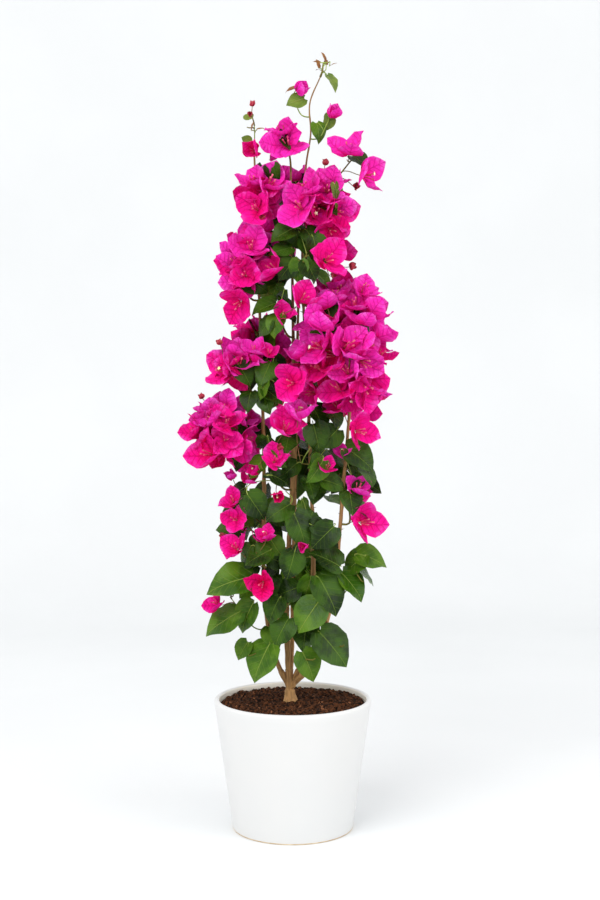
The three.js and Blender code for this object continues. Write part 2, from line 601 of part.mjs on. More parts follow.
/** Grows one spray: side twigs first, then blooms near its surface, then leaves within. */
function growSpray(own, sprays, obstacles) {
  const spray = sprays[own];
  const { centre, half, facing, stem } = spray;
  const random = randomStream(SEED + 97 * own);
  const turn = random(0, 1);
  const shake = () => new THREE.Vector3(random(-1, 1), random(-1, 1), random(-1, 1));
  const joints = jointsAlong(stem, 0.25);
  const grown = { twigs: [], blooms: [], leaves: [] };

  const twigCount = Math.round((spray.blooms + spray.leaves) / LOAD_OF_A_TWIG);
  for (let n = 0; n < 3 * twigCount && grown.twigs.length < twigCount; n++) {
    const direction = spreadDirection(n, turn + 0.37);
    const end = centre.clone().addScaledVector(direction.clone().multiply(half), TWIG_SHARE);
    const start = nearest(joints, end);
    const path = [start, end];
    if (direction.dot(facing) < -0.5 || start.distanceTo(end) < 12) continue;
    if (!inSpace(end, own, sprays) || !pathIsClear(path, TWIG_RADII[0], own, obstacles)) continue;
    grown.twigs.push(path);
    joints.splice(joints.indexOf(start), 1);
    joints.push(...jointsAlong(path, 0.3));
  }

  const others = obstacles.filter((bead) => bead.owner !== own);
  for (let n = 0; n < TRIES * spray.blooms && grown.blooms.length < spray.blooms; n++) {
    const direction = spreadDirection(n, turn);
    const sway = shake();
    const [open, size] = [random(0, 1), random(0.88, 1.1)];
    const length = spray.bract * size;
    const base = centre.clone().add(inset(half, BLOOM_DEPTH * length).multiply(direction));
    const along = direction.clone().multiplyScalar(0.8).addScaledVector(facing, 0.6)
      .addScaledVector(sway, 0.2).normalize();
    const middle = base.clone().addScaledVector(along, 0.45 * length);
    const bloom = { base, along, length, middle, face: squareTo(sway, along),
      opening: spray.bract < BUD_LENGTH ? BUD_OPENING : mix(...BLOOM_OPENING, open) };
    if (direction.dot(facing) < -0.5 || crowded(bloom, grown.blooms, BLOOM_SPACING)) continue;
    if (settle(bloom, BLOOM, own, sprays, others, joints)) grown.blooms.push(bloom);
  }

  const twigs = [stem, ...grown.twigs].flatMap((path) => beads(path, path.map(() => TWIG_RADII[1])));
  const nearby = [...others, ...twigs, ...grown.blooms.flatMap(surfaceBeads)];
  for (let n = 0; n < TRIES * spray.leaves && grown.leaves.length < spray.leaves; n++) {
    const direction = spreadDirection(n, turn + 0.61);
    const sway = shake();
    const length = spray.leaf * random(0.85, 1.12);
    const along = new THREE.Vector3(direction.x, direction.y, -0.55).addScaledVector(sway, 0.25)
      .normalize();
    const face = squareTo(facing.clone().addScaledVector(UP, 0.35).addScaledVector(sway, 0.3), along);
    const middle = centre.clone().add(inset(half, LEAF_DEPTH * length).multiply(direction));
    const base = middle.clone().addScaledVector(along, -length / 2);
    const leaf = { base, along, face, length, middle };
    if (crowded(leaf, grown.leaves, LEAF_SPACING)) continue;
    if (settle(leaf, LEAF, own, sprays, nearby, joints)) {
      grown.leaves.push(leaf);
      nearby.push(...surfaceBeads(leaf));
    }
  }
  return grown;
}

/** Whether a leaf or bloom is too near to another of its kind. */
function crowded(piece, others, spacing) {
  return others.some((other) => other.middle.distanceTo(piece.middle) < spacing * piece.length);
}

/** Points over the faces of a leaf or a bloom, for keeping leaves out of it. */
function surfaceBeads({ body }) {
  return body.faces.slice(13).flatMap((face) => {
    const [a, b, c] = face.map((i) => body.vertices[i]);
    const heart = a.clone().add(b).add(c).divideScalar(3);
    return [a, a.clone().lerp(b, 0.5), heart].map((point) => ({ point, radius: 0 }));
  });
}

// A stalk comes from behind: a bloom's along its axis, and a leaf's from the back of its blade.
const BLOOM = { shape: bloomOnStalk, touches: touchesBloom, front: 'along', lead: 0.5, bent: false };
const LEAF = { shape: leafOnStalk, touches: touchesLeaf, front: 'face', lead: 0, bent: true };

/** Half sizes drawn in by some depth, but never to nothing. */
function inset(half, depth) {
  return half.clone().subScalar(depth).max(new THREE.Vector3(3, 3, 3));
}

/** Places along a path that stalks can start from, between a share of it and its end. */
function jointsAlong(path, from) {
  const curve = new THREE.CurvePath();
  for (let i = 1; i < path.length; i++) curve.add(new THREE.LineCurve3(path[i - 1], path[i]));
  const count = Math.max(2, Math.round(curve.getLength() * (1 - from) / JOINT_STEP));
  return Array.from({ length: count }, (_, i) => curve.getPointAt(mix(from, 0.96, i / (count - 1))));
}

function nearest(points, place) {
  return points.reduce((best, point) => (
    point.distanceToSquared(place) < best.distanceToSquared(place) ? point : best));
}

/** Gives a leaf or bloom its stalk and shape, or refuses it where it doesn't fit. */
function settle(piece, kind, own, sprays, nearby, joints) {
  const behind = joints.filter((joint) => {
    const reach = piece.base.clone().sub(joint);
    return reach.length() > SHORTEST_STALK && reach.dot(piece[kind.front]) > kind.lead * reach.length();
  });
  if (behind.length === 0) return false;
  const root = nearest(behind, piece.base);
  const distance = root.distanceTo(piece.base);
  if (distance > STALK_REACH) return false;
  const bend = piece.base.clone().addScaledVector(piece.along, -0.3 * distance);
  piece.stalk = kind.bent ? [root, bend, piece.base] : [root, piece.base];
  piece.body = kind.shape(piece);
  if (!piece.body.vertices.slice(3).every((vertex) => inSpace(vertex, own, sprays))) return false;
  if (!pathIsClear(piece.stalk, STALK_RADII[1], own, nearby)) return false;
  const margin = (bead) => (bead.owner === undefined ? 0.5 : LIMB_MARGIN);
  const room = (bead) => (bead.radius + margin(bead)) / piece.length;
  if (nearby.some((bead) => kind.touches(piece, bead, room(bead)))) return false;
  joints.splice(joints.indexOf(root), 1);
  return true;
}

/** Fuses what has grown in a spray into one body. */
function sprayMesh(spray, grown) {
  const share = (i, count) => i / (count - 1);
  const radii = spray.stem.map((point, i) => mix(...TWIG_RADII, share(i, spray.stem.length)));
  const bodies = [tube(spray.stem, radii, 3)];
  for (const twig of grown.twigs) bodies.push(tube(twig, SIDE_TWIG_RADII, 3));
  for (const piece of [...grown.blooms, ...grown.leaves]) bodies.push(piece.body);
  const material = grown.blooms.length > grown.leaves.length ? MATERIALS.flowering : MATERIALS.leafy;
  return pieceMesh(spray.name, fuse(bodies.map(solid)), material);
}

// ---- The whole plant -------------------------------------------------------------------------------

const bougainvillea = new THREE.Group();
const { limbs, arms } = limbsAndArms();
bougainvillea.add(pot(), soil(), trunk(arms));
for (const limb of Object.values(limbs)) {
  const body = solid(tube(limb.path, limb.radii, LIMB_SIDES));
  bougainvillea.add(pieceMesh(limb.name, body, MATERIALS.bark));
}

const sprays = SPRAYS.map((row) => ({
  leaf: LEAF_LENGTH,
  bract: BRACT_LENGTH,
  ...row,
  centre: vector(row.at),
  half: vector(row.half),
  space: vector(row.half).addScalar(TIP_ROOM),
  weight: Math.cbrt(row.half[0] * row.half[1] * row.half[2]),
  facing: sprayFacing(vector(row.at)),
  stem: sprayStem(row, limbs[row.limb]),
}));
const obstacles = [
  ...Object.values(limbs).flatMap((limb) => beads(limb.path, limb.radii, limb.name)),
  ...sprays.flatMap(({ stem }, i) => beads(stem, stem.map(() => TWIG_RADII[0]), i)),
];
sprays.forEach((spray, i) => {
  bougainvillea.add(sprayMesh(spray, growSpray(i, sprays, obstacles)));
});

export default bougainvillea;
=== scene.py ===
"""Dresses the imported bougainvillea: glazed pot, peat, bark, twigs, leaves, bracts and flowers.

The crown grows by the rule of the plant's own source, carried on to more and finer parts: each
spray has a stem that starts on a limb, side twigs inside its own space, and leaves and blooms
that face out of the crown. Metres, +Z up, -Y the front.
"""

import functools
import json
import math
from types import SimpleNamespace

import bmesh
import bpy
import numpy as np
from bpy.props import FloatProperty, FloatVectorProperty, IntProperty, PointerProperty
from mathutils import Matrix, Vector, noise

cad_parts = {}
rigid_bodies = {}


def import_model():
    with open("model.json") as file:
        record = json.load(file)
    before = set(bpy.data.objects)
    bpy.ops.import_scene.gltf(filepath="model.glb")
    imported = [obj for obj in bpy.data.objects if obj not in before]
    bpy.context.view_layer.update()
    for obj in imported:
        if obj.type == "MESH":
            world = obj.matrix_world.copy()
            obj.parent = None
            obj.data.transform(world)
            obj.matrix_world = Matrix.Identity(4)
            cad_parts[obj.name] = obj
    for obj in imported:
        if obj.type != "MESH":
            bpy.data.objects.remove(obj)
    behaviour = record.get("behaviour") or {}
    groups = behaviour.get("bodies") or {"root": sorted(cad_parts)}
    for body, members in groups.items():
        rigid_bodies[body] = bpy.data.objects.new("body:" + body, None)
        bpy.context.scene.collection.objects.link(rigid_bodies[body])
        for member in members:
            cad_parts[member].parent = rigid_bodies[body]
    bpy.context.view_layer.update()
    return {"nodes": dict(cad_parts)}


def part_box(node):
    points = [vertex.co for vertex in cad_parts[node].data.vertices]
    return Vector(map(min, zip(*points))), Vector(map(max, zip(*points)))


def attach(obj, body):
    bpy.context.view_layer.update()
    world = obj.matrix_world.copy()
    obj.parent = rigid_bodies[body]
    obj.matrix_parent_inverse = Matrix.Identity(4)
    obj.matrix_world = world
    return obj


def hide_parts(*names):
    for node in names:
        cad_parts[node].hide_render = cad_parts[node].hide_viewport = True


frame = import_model()

bl_info = {
    "name": "Potted Bougainvillea",
    "version": (1, 0, 0),
    "blender": (4, 5, 0),
    "location": "3D View > Sidebar > Plant",
    "description": "Grows the finished surfaces of a bougainvillea in its pot",
    "category": "Object",
}

MM = 0.001
UP = np.array([0.0, 0.0, 1.0])

# ---- The crown's rule, as in the plant's source ----

TRUNK_X = -5 * MM
TRUNK_LEAN = 1.5 * MM
TRUNK_RADIUS = 8.5 * MM
TRUNK_FLARE = 13 * MM
FORK_RISE = 17 * MM              # from the soil up to the fork
LIMB_SIDES = 6                   # corners of a packed limb's rings
GAP = 0.3 * MM
TWIG_RADII = (2.4 * MM, 2.0 * MM)
STEM_OVERRUN = 0.3               # how far a spray's stem runs past the centre, in its least size
STEM_SETBACK = 0.4               # and how far it ends behind it
TWIG_SHARE = 0.55                # where twigs end, as a share of the spray's size
TIP_ROOM = 17 * MM               # how far tips may reach past a spray's own size
BLOOM_DEPTH = 0.6                # how deep a bloom's foot stands, in its lengths
LEAF_DEPTH = 0.22
FRONT_LIMIT = 12 * MM            # sprays with their centre before this face the front
THIRDS = [math.pi * (1 / 3 + 2 * n / 3) for n in range(3)]   # the angles of a bloom's three parts
BLOOM_OPENING = (0.5, 1.0)       # how far bracts lean out, in radians
BUD_OPENING = 0.3
BUD_LENGTH = 22 * MM             # shorter blooms are half closed
SEED = 2024
LEAF_LENGTH = 46                 # the usual leaf and bract, in millimetres
BRACT_LENGTH = 43

# And what the finer growth adds.
CELL_OVERLAP = 12 * MM           # how far tips may reach into the next spray's space
STEM_LEAF_STEP = 14 * MM         # spacing of the leaves that grow on the limbs themselves
STEM_LEAF_REACH = (16 * MM, 34 * MM)
STEM_STEP = 9 * MM               # spacing of the points along a spray's stem
JOINT_STEP = 4 * MM
STALK_REACH = 70 * MM            # the longest stalk
BRACT_SPREAD = (0.76, 1.12)      # how much lengths differ within a spray
LEAF_SPREAD = (0.85, 1.12)
LEAST_SHELL = 3 * MM             # the least radius of the surface that they are set on
BARK_SHARE = 0.86                # a limb's radius under its ridges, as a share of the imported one's
LEAF_RISE = -0.6                 # how far a leaf points up, against its reach sideways
YOUNGEST_BRACT = 14 * MM
YOUNGEST_LEAF = 22 * MM
BLADE_RELIEF = 0.8 * MM          # depth of the veins on leaves and bracts
LIGHT_AGE, YOUNG_AGE, BRONZE_AGE = 0.14, 0.62, 0.9    # where the tints of leaves change
PAINTED_LIT_TONE, PAINTED_SHADE_TONE = 0.36, -0.5                   # and those where bracts turn to the painted-lit and painted-shade tints

# How much each form of leaf is folded, drooping and curled, and each form of bract cupped and
# bent out at its tip.
LEAF_FORMS = [(0.12, 0.16, 0.10), (0.22, 0.26, 0.16), (0.08, 0.10, 0.22), (0.30, 0.20, 0.06),
              (0.16, 0.32, 0.12), (0.10, 0.22, 0.30)]
BRACT_FORMS = [(0.18, -0.1), (0.24, 0.3), (0.12, 0.15), (0.28, 0.45), (0.2, 0.1), (0.1, 0.4)]

FLOWERS_OPEN = 0.035             # the share of the flowers that have opened to a star
KNOT_SPACING = 26 * MM
KNOT_LENGTH = 4.5 * MM
THORN_SPACING = 24 * MM

# The camera and what the lights aim at.
LENS = 55.7
SENSOR_WIDTH = 36.0
CAMERA_X = 11.4 * MM
CAMERA_HEIGHT = 706.6 * MM
CAMERA_DIP = 2.71                # degrees
AIM_HEIGHT = 0.65

# Rounds of growth: how deep they stand (1 at the surface), how near they may stand to others
# (1 just clear) and, for inner leaves, their size. Below, how many more there are than planned.
OPEN_BLOOMS, OPEN_LEAVES = (1.0, 0.8), (1.0, 0.85)
OUTER_BLOOMS, OUTER_LEAVES = (1.05, 0.74), (1.0, 0.66)
INNER_BLOOMS, INNER_LEAVES = (0.5, 0.6), (0.65, 0.55, 0.8)
FULLER_BLOOMS, FULLER_LEAVES = 1.3, 1.1
INNER_BLOOM_SHARE, INNER_LEAF_SHARE = 0.5, 0.3
FEW_BLOOMS = 4
TRIES = 90                       # for each bloom or leaf that is wanted


def planned(name, limb, start, centre, half, blooms, leaves, leaf=LEAF_LENGTH, bract=BRACT_LENGTH,
            tone=0.0, age=0.0, rise=LEAF_RISE, sparse=False):
    """A spray as planned, from millimetres. A slight one has few leaves or buds, on green stems."""
    half = np.array(half) * MM
    return SimpleNamespace(
        name=name, limb=limb, start=start and start * MM, centre=np.array(centre) * MM, half=half,
        blooms=blooms, leaves=leaves, leaf=leaf * MM, bract=bract * MM, tone=tone, age=age, rise=rise,
        slight=sparse or bract * MM < BUD_LENGTH, space=half + TIP_ROOM,
        weight=float(np.cbrt(half.prod())))


# Each spray's name and limb, the height that it starts from (None is the limb's tip), its centre,
# its half sizes, its blooms and its leaves. `tone` paints light on its blooms, from painted shade
# (-1) to painted light (1), and `age` moves its leaves from dark (0) to young (1).
SPRAYS = [
    planned("leader_tip", "leader", None, (50, 0, 1205), (18, 14, 15), 0, 6, leaf=15, age=1.0, rise=0.6),
    planned("leader_buds_left", "leader", 1124, (4, -2, 1156), (14, 12, 20), 1, 2,
            leaf=24, bract=21, age=0.8),
    planned("leader_buds_right", "leader", 1090, (58, -2, 1118), (18, 14, 24), 1, 2,
            leaf=30, bract=21, age=0.7),
    planned("left_tip", "stem_left", None, (-63, 0, 1108), (16, 14, 38), 3, 5,
            leaf=14, bract=10, age=1.0, rise=0.5),
    planned("crest", "stem_main", None, (-13, -8, 1086), (28, 26, 28), 3, 1, tone=0.5),
    planned("top_left", "stem_left", 966, (-48, -16, 1006), (36, 38, 40), 5, 1, tone=0.4),
    planned("top_front", "leader", 938, (42, -30, 992), (54, 40, 46), 9, 2, tone=0.4),
    planned("top_right", "leader", 1000, (94, 0, 1056), (30, 24, 26), 3, 0, tone=0.7),
    planned("high_left", "stem_left", 838, (-75, -10, 890), (34, 36, 58), 8, 2),
    planned("high_front", "stem_main", 846, (20, -42, 894), (54, 34, 46), 2, 8, leaf=42, tone=-0.2),
    planned("shoulder_front", "stem_main", 780, (-22, -42, 812), (38, 30, 36), 2, 5, leaf=40, tone=-0.2),
    planned("clump", "stem_right", 668, (75, -32, 762), (80, 64, 116), 25, 0, tone=0.3),
    planned("spray_left", "stem_left", 690, (-84, -16, 736), (54, 38, 34), 6, 3, leaf=36),
    planned("inner_left", "stem_main", 684, (-36, -40, 708), (26, 28, 42), 0, 9,
            leaf=40, bract=36, tone=-0.3),
    planned("cluster_left", "stem_left", 588, (-112, -14, 632), (52, 52, 56), 15, 1, bract=36, tone=-0.1),
    planned("waist_front", "stem_middle", 540, (36, -34, 574), (50, 42, 46), 0, 7, leaf=38),
    planned("waist_left", "stem_main", 540, (-36, -38, 578), (32, 34, 42), 4, 5,
            leaf=37, bract=28, tone=-0.5),
    planned("waist_right", "stem_right", 486, (94, -12, 526), (36, 36, 46), 2, 3, leaf=38, bract=40),
    planned("lower_left", "stem_left", 470, (-86, -10, 504), (34, 32, 40), 4, 4,
            leaf=36, bract=28, tone=-0.2),
    planned("lower_front", "stem_middle", 440, (24, -34, 474), (48, 38, 42), 0, 7, leaf=38),
    planned("lower_centre", "stem_left", 404, (-52, -34, 434), (40, 34, 42), 4, 5,
            leaf=37, bract=30, tone=-0.4),
    planned("low_right", "stem_right", 374, (100, -12, 404), (34, 26, 30), 0, 4,
            leaf=50, age=0.3, sparse=True),
    planned("low_left", "stem_left", 318, (-98, -14, 362), (46, 30, 56), 1, 5,
            leaf=64, bract=24, age=0.35, sparse=True),
    planned("low_front_left", "stem_main", 306, (-28, -46, 336), (32, 26, 30), 0, 3,
            leaf=46, age=0.2, sparse=True),
    planned("low_front_right", "stem_middle", 330, (38, -35, 364), (38, 28, 34), 0, 4,
            leaf=48, age=0.1, sparse=True),
    planned("foot_right", "stem_right", 282, (70, -34, 292), (26, 22, 26), 0, 2,
            leaf=60, age=0.2, sparse=True),
    planned("foot_front", "low_shoot", None, (22, -48, 274), (30, 24, 24), 0, 3,
            leaf=48, age=0.3, sparse=True),
    planned("foot_left", "stem_left", 262, (-54, -32, 280), (34, 24, 24), 0, 3,
            leaf=58, age=0.3, sparse=True),
    planned("back_crest", "leader", 974, (4, 36, 1012), (38, 34, 40), 3, 1, tone=0.3),
    planned("back_top_right", "leader", 906, (54, 44, 942), (42, 36, 50), 4, 2, tone=0.2),
    planned("back_top_left", "stem_left", 880, (-50, 42, 914), (46, 38, 56), 5, 2),
    planned("back_clump_upper", "stem_back", 786, (74, 66, 832), (60, 46, 54), 8, 1, tone=0.2),
    planned("back_clump_lower", "stem_right", 660, (92, 60, 704), (60, 50, 58), 7, 1),
    planned("back_left", "stem_left", 728, (-58, 54, 768), (44, 46, 54), 6, 2),
    planned("back_centre", "stem_back", 660, (2, 92, 712), (46, 40, 56), 5, 2, tone=-0.2),
    planned("back_cluster", "stem_left", 574, (-90, 52, 622), (56, 48, 58), 7, 1, tone=-0.1),
    planned("back_waist", "stem_back", 540, (8, 88, 578), (54, 42, 52), 2, 5, tone=-0.4),
    planned("back_lower_right", "stem_right", 520, (86, 44, 548), (46, 38, 50), 1, 5),
    planned("back_lower_left", "stem_back", 440, (-52, 58, 478), (50, 42, 52), 1, 5),
    planned("back_low", "stem_back", 350, (28, 66, 392), (48, 38, 52), 0, 6, leaf=56, age=0.2),
]

# Blooms that have a place of their own in a spray: the foot and the bracts' length.
SET_BLOOMS = {
    "leader_buds_left": [(8, -2, 1160, 23)],
    "leader_buds_right": [(60, -4, 1122, 24)],
    "left_tip": [(-58, -16, 1068, 30)],
    "crest": [(-8, -12, 1078, 46)],
    "top_right": [(88, -8, 1064, 42), (108, -8, 1032, 42), (99, -14, 1012, 12)],
    "top_front": [
        (62, -16, 1020, 30), (14, -50, 974, 46), (66, -36, 970, 40), (56, -36, 946, 38), (50, -18, 1046, 11)
    ],
    "top_left": [(-38, -30, 1010, 44), (-54, -40, 974, 40), (-44, -46, 962, 10)],
    "high_left": [(-64, -34, 914, 44), (-72, -36, 874, 36), (-80, -18, 836, 42)],
    "high_front": [(-24, -46, 880, 40), (50, -60, 894, 44), (88, -30, 888, 12), (60, -54, 872, 11)],
    "shoulder_front": [(12, -60, 832, 38), (-16, -54, 810, 28)],
    "spray_left": [(-60, -45, 756, 28), (-36, -48, 752, 22), (-104, -26, 726, 40), (-112, -30, 768, 10)],
    "cluster_left": [(-126, -40, 597, 44), (-148, -24, 634, 32), (-140, -30, 684, 10)],
    "clump": [(2, -66, 708, 42), (97, -44, 634, 40)],
    "waist_front": [(8, -60, 652, 40), (52, -58, 576, 23)],
    "waist_left": [
        (-14, -56, 634, 40), (-28, -62, 587, 32), (-55, -52, 573, 20), (-20, -66, 606, 11),
        (-24, -64, 536, 20)
    ],
    "waist_right": [(106, -26, 490, 45), (100, -30, 538, 32), (76, -32, 596, 22)],
    "lower_left": [
        (-94, -24, 558, 18), (-70, -30, 554, 22), (-92, -30, 522, 27), (-88, -36, 495, 30),
        (-106, -30, 470, 10)
    ],
    "lower_centre": [(-86, -44, 449, 33), (-41, -58, 469, 24), (-46, -50, 399, 34)],
    "low_left": [(-116, -22, 360, 28)],
    "lower_front": [(18, -60, 454, 18)],
}

# And leaves: the foot of the blade and its tip.
SET_LEAVES = {
    "leader_tip": [((54, -2, 1188), (72, -8, 1166))],
    "leader_buds_left": [((18, -2, 1152), (-10, -8, 1143))],
    "leader_buds_right": [((37, -2, 1114), (46, -8, 1085))],
    "top_left": [((-30, -22, 1046), (-26, -30, 1020))],
    "high_front": [
        ((2, -44, 946), (-34, -54, 930)), ((20, -48, 944), (40, -58, 920)),
        ((2, -50, 896), (-20, -58, 868)), ((20, -54, 896), (36, -62, 866))
    ],
    "low_left": [
        ((-66, -30, 404), (-135, -44, 394)), ((-84, -26, 349), (-140, -36, 319)),
        ((-62, -30, 363), (-86, -34, 319))
    ],
    "foot_left": [((-36, -34, 300), (-66, -48, 244)), ((-71, -14, 299), (-89, -20, 273))],
    "low_front_left": [((-6, -44, 342), (-31, -56, 303)), ((8, -30, 388), (-33, -36, 375))],
    "low_front_right": [((40, -50, 369), (7, -64, 324)), ((40, -46, 406), (75, -60, 353))],
    "lower_front": [
        ((3, -46, 446), (-8, -54, 404)), ((73, -34, 422), (32, -50, 450)), ((64, -50, 486), (29, -60, 456)),
        ((2, -54, 506), (27, -62, 456))
    ],
    "low_right": [((77, -20, 409), (115, -30, 372)), ((102, -12, 439), (150, -18, 429))],
    "foot_right": [((42, -34, 318), (89, -46, 270))],
    "foot_front": [((15, -44, 289), (38, -54, 247))],
    "lower_centre": [((-35, -50, 449), (-76, -56, 431))],
    "waist_left": [((-4, -52, 521), (-43, -60, 499)), ((-70, -44, 535), (-43, -52, 499))],
    "waist_right": [((83, -26, 607), (129, -36, 578))],
    "lower_left": [((-82, -14, 479), (-121, -18, 480))],
    "waist_front": [((70, -30, 636), (42, -42, 608)), ((32, -34, 644), (44, -46, 602))],
}

STEMS = ["stem_left", "stem_main", "stem_middle", "stem_right", "stem_back"]
LIMBS = [*STEMS, "leader", "low_shoot"]


# ---- Vectors, courses and streams ----


def unit(vector):
    return vector / max(np.linalg.norm(vector), 1e-12)


def mix(low, high, share):
    return low + (high - low) * share


def square_to(direction, axis):
    """The part of a direction that is square to a unit axis, at unit length."""
    across = direction - axis * direction.dot(axis)
    if np.linalg.norm(across) < 1e-3:
        spare = np.array([1.0, 0.3, 0.2])
        across = spare - axis * spare.dot(axis)
    return unit(across)


def random_stream(seed):
    """A seeded stream of numbers between two limits, the same one as the source's."""
    state = [seed]

    def draw(low, high):
        state[0] = (state[0] * 1664525 + 1013904223) % 4294967296
        return mix(low, high, state[0] / 4294967296)

    return draw


def spread_direction(n, turn):
    """The nth direction of an even spread over the sphere."""
    height = 1 - 2 * ((0.5 + n * 0.7548776662) % 1)
    angle = 2 * math.pi * ((turn + n * 0.569840291) % 1)
    across = math.sqrt(1 - height * height)
    return np.array([across * math.cos(angle), across * math.sin(angle), height])


def turned(first, second, angle):
    """A direction turned by an angle, from one towards another that is square to it."""
    return math.cos(angle) * first + math.sin(angle) * second


def circle(count):
    """The cosines and sines of even steps round a circle."""
    angles = [2 * math.pi * i / count for i in range(count)]
    return [(math.cos(angle), math.sin(angle)) for angle in angles]


def bezier(corners, count):
    """Points at even steps of a cubic Bezier curve's parameter."""
    a, b, c, d = corners
    t = np.linspace(0, 1, count + 1)[:, None]
    return (1 - t) ** 3 * a + 3 * (1 - t) ** 2 * t * b + 3 * (1 - t) * t**2 * c + t**3 * d


def resampled(path, values, step):
    """A smooth course through a path, with points at about even steps, and its values there."""
    along = np.concatenate([[0], np.cumsum(np.linalg.norm(np.diff(path, axis=0), axis=1))])
    slopes = np.gradient(path, along, axis=0)
    at = np.linspace(0, along[-1], max(2, round(along[-1] / step)) + 1)
    i = np.clip(np.searchsorted(along, at, side="right") - 1, 0, len(path) - 2)
    span = (along[i + 1] - along[i])[:, None]
    t = (at[:, None] - along[i][:, None]) / span
    smooth = (
        (2 * t**3 - 3 * t**2 + 1) * path[i]
        + (t**3 - 2 * t**2 + t) * span * slopes[i]
        + (3 * t**2 - 2 * t**3) * path[i + 1]
        + (t**3 - t**2) * span * slopes[i + 1]
    )
    return smooth, np.interp(at, along, values)


def frames_along(path, radii, step):
    """An even course along a path, with its radii, tangents, normals and binormals."""
    course, sizes = resampled(path, radii, step)
    tangents = np.gradient(course, axis=0)
    tangents /= np.linalg.norm(tangents, axis=1)[:, None]
    normals = [np.array([0.3, -1.0, 0.1])]
    for tangent in tangents:
        normals.append(square_to(normals[-1], tangent))
    normals = np.array(normals[1:])
    return course, sizes, tangents, normals, np.cross(tangents, normals)


# ---- Limbs and sprays ----


@functools.cache
def limb(name):
    """The centres and radii of a packed limb's rings, from its foot up."""
    vertices = frame["nodes"][name].data.vertices
    corners = np.empty(len(vertices) * 3)
    vertices.foreach_get("co", corners)
    corners = np.unique(corners.reshape(-1, 3).round(6), axis=0)
    rings = corners[np.argsort(corners[:, 2])].reshape(-1, LIMB_SIDES, 3)
    centres = rings.mean(1)
    return centres, np.linalg.norm(rings - centres[:, None], axis=2).mean(1)


def spray_stem(spray):
    """The centre line of a spray's stem, from its seat on the limb past the spray's centre."""
    path, radii = limb(spray.limb)
    if spray.start is None:
        away = unit(path[-1] - path[-2])
        seat = path[-1] - away * TWIG_RADII[0]
        foot = path[-1] + away * GAP
    else:
        i = int(np.argmax(path[:, 2] > spray.start))
        share = (spray.start - path[i - 1, 2]) / (path[i, 2] - path[i - 1, 2])
        seat = mix(path[i - 1], path[i], share)
        away = square_to(spray.centre - seat, unit(path[i] - path[i - 1]))
        foot = seat + away * (mix(radii[i - 1], radii[i], share) + GAP)
    start = foot + away * 2 * TWIG_RADII[0]
    onward = unit(unit(spray.centre - start) + 0.3 * UP)
    least = min(spray.half)
    end = spray.centre + onward * STEM_OVERRUN * least - spray.facing * STEM_SETBACK * least
    reach = np.linalg.norm(end - start)
    corners = (start, start + 0.3 * reach * away, end - 0.4 * reach * onward, end)
    return np.vstack([seat, foot, bezier(corners, max(4, round(reach / STEM_STEP)))])


@functools.cache
def sprays():
    """The planned sprays, each with the way that it faces and its stem. A spray faces out from
    the crown's axis, to its own side, and a little up."""
    for spray in SPRAYS:
        x, y, _ = spray.centre
        side = np.array([0, -1 if y < FRONT_LIMIT else 1, 0])
        spray.facing = unit(0.5 * unit(np.array([x, y, 0])) + 0.7 * side + 0.2 * UP)
        spray.stem = spray_stem(spray)
    return SPRAYS


def beads_along(path, radii, owner):
    """Points at even steps along a path, each with its radius and the number of its spray."""
    course, sizes = resampled(path, radii, JOINT_STEP)
    return np.column_stack([course, sizes, np.full(len(course), owner)])


def in_space(points, own):
    """Whether points lie in a spray's ellipsoid, and at most a little way into other spaces."""
    spray = sprays()[own]
    if ((((points - spray.centre) / spray.space) ** 2).sum(1) > 1).any():
        return False
    centres = np.array([other.centre for other in sprays()])
    weights = np.array([other.weight for other in sprays()])
    power = ((points[:, None] - centres) ** 2).sum(2) - weights**2
    limit = -2 * CELL_OVERLAP * np.linalg.norm(centres - spray.centre, axis=1)
    return bool((power - power[:, own, None] >= limit).all())


def in_some_space(points):
    """Whether points all lie in one spray's space or another's."""
    inside = [(((points - spray.centre) / spray.space) ** 2).sum(1) < 1 for spray in sprays()]
    return bool(np.any(inside, axis=0).all())


# ---- Leaves and blooms ----


class Growth:
    """A leaf or bloom: its foot, the way along it, the way that it faces, and its length."""

    def __init__(self, base, along, face, length):
        self.base, self.along, self.length = base, along, length
        self.face = square_to(face, along)
        self.side = np.cross(along, self.face)
        self.middle = base + 0.5 * length * along

    def offsets(self, beads):
        """How far beads lie along, across and above it, and their room, in its lengths."""
        offset = (beads[:, :3] - self.base) / self.length
        room = (beads[:, 3] + 0.6 * MM) / self.length
        return offset @ self.along, offset @ self.side, offset @ self.face, room


class Leaf(Growth):
    """A leaf's blade and its age. Its stalk comes from behind and droops."""

    droop = 0.12
    rim = np.array([(0.02, 0.3), (0.48, 0.38), (1, 0), (0.48, -0.38), (0.02, -0.3)])

    def __init__(self, base, along, face, length, age):
        super().__init__(base, along, face, length)
        self.front, self.reach, self.age = self.face, 0.8 * length, age

    def lift(self, x, y):
        """How far the blade stands above its foot, folded along the midrib and drooping."""
        return 0.22 * np.abs(y) - 0.2 * x * x

    def points(self):
        x, y = self.rim.T[:, :, None]
        return self.base + self.length * (x * self.along + y * self.side + self.lift(x, y) * self.face)

    def touches(self, beads):
        x, y, lift, room = self.offsets(beads)
        over = (x > -room) & (x < 1 + room) & (np.abs(y) < 0.38 + room)
        return bool((over & (np.abs(lift - self.lift(x, y)) < room + 0.03)).any())


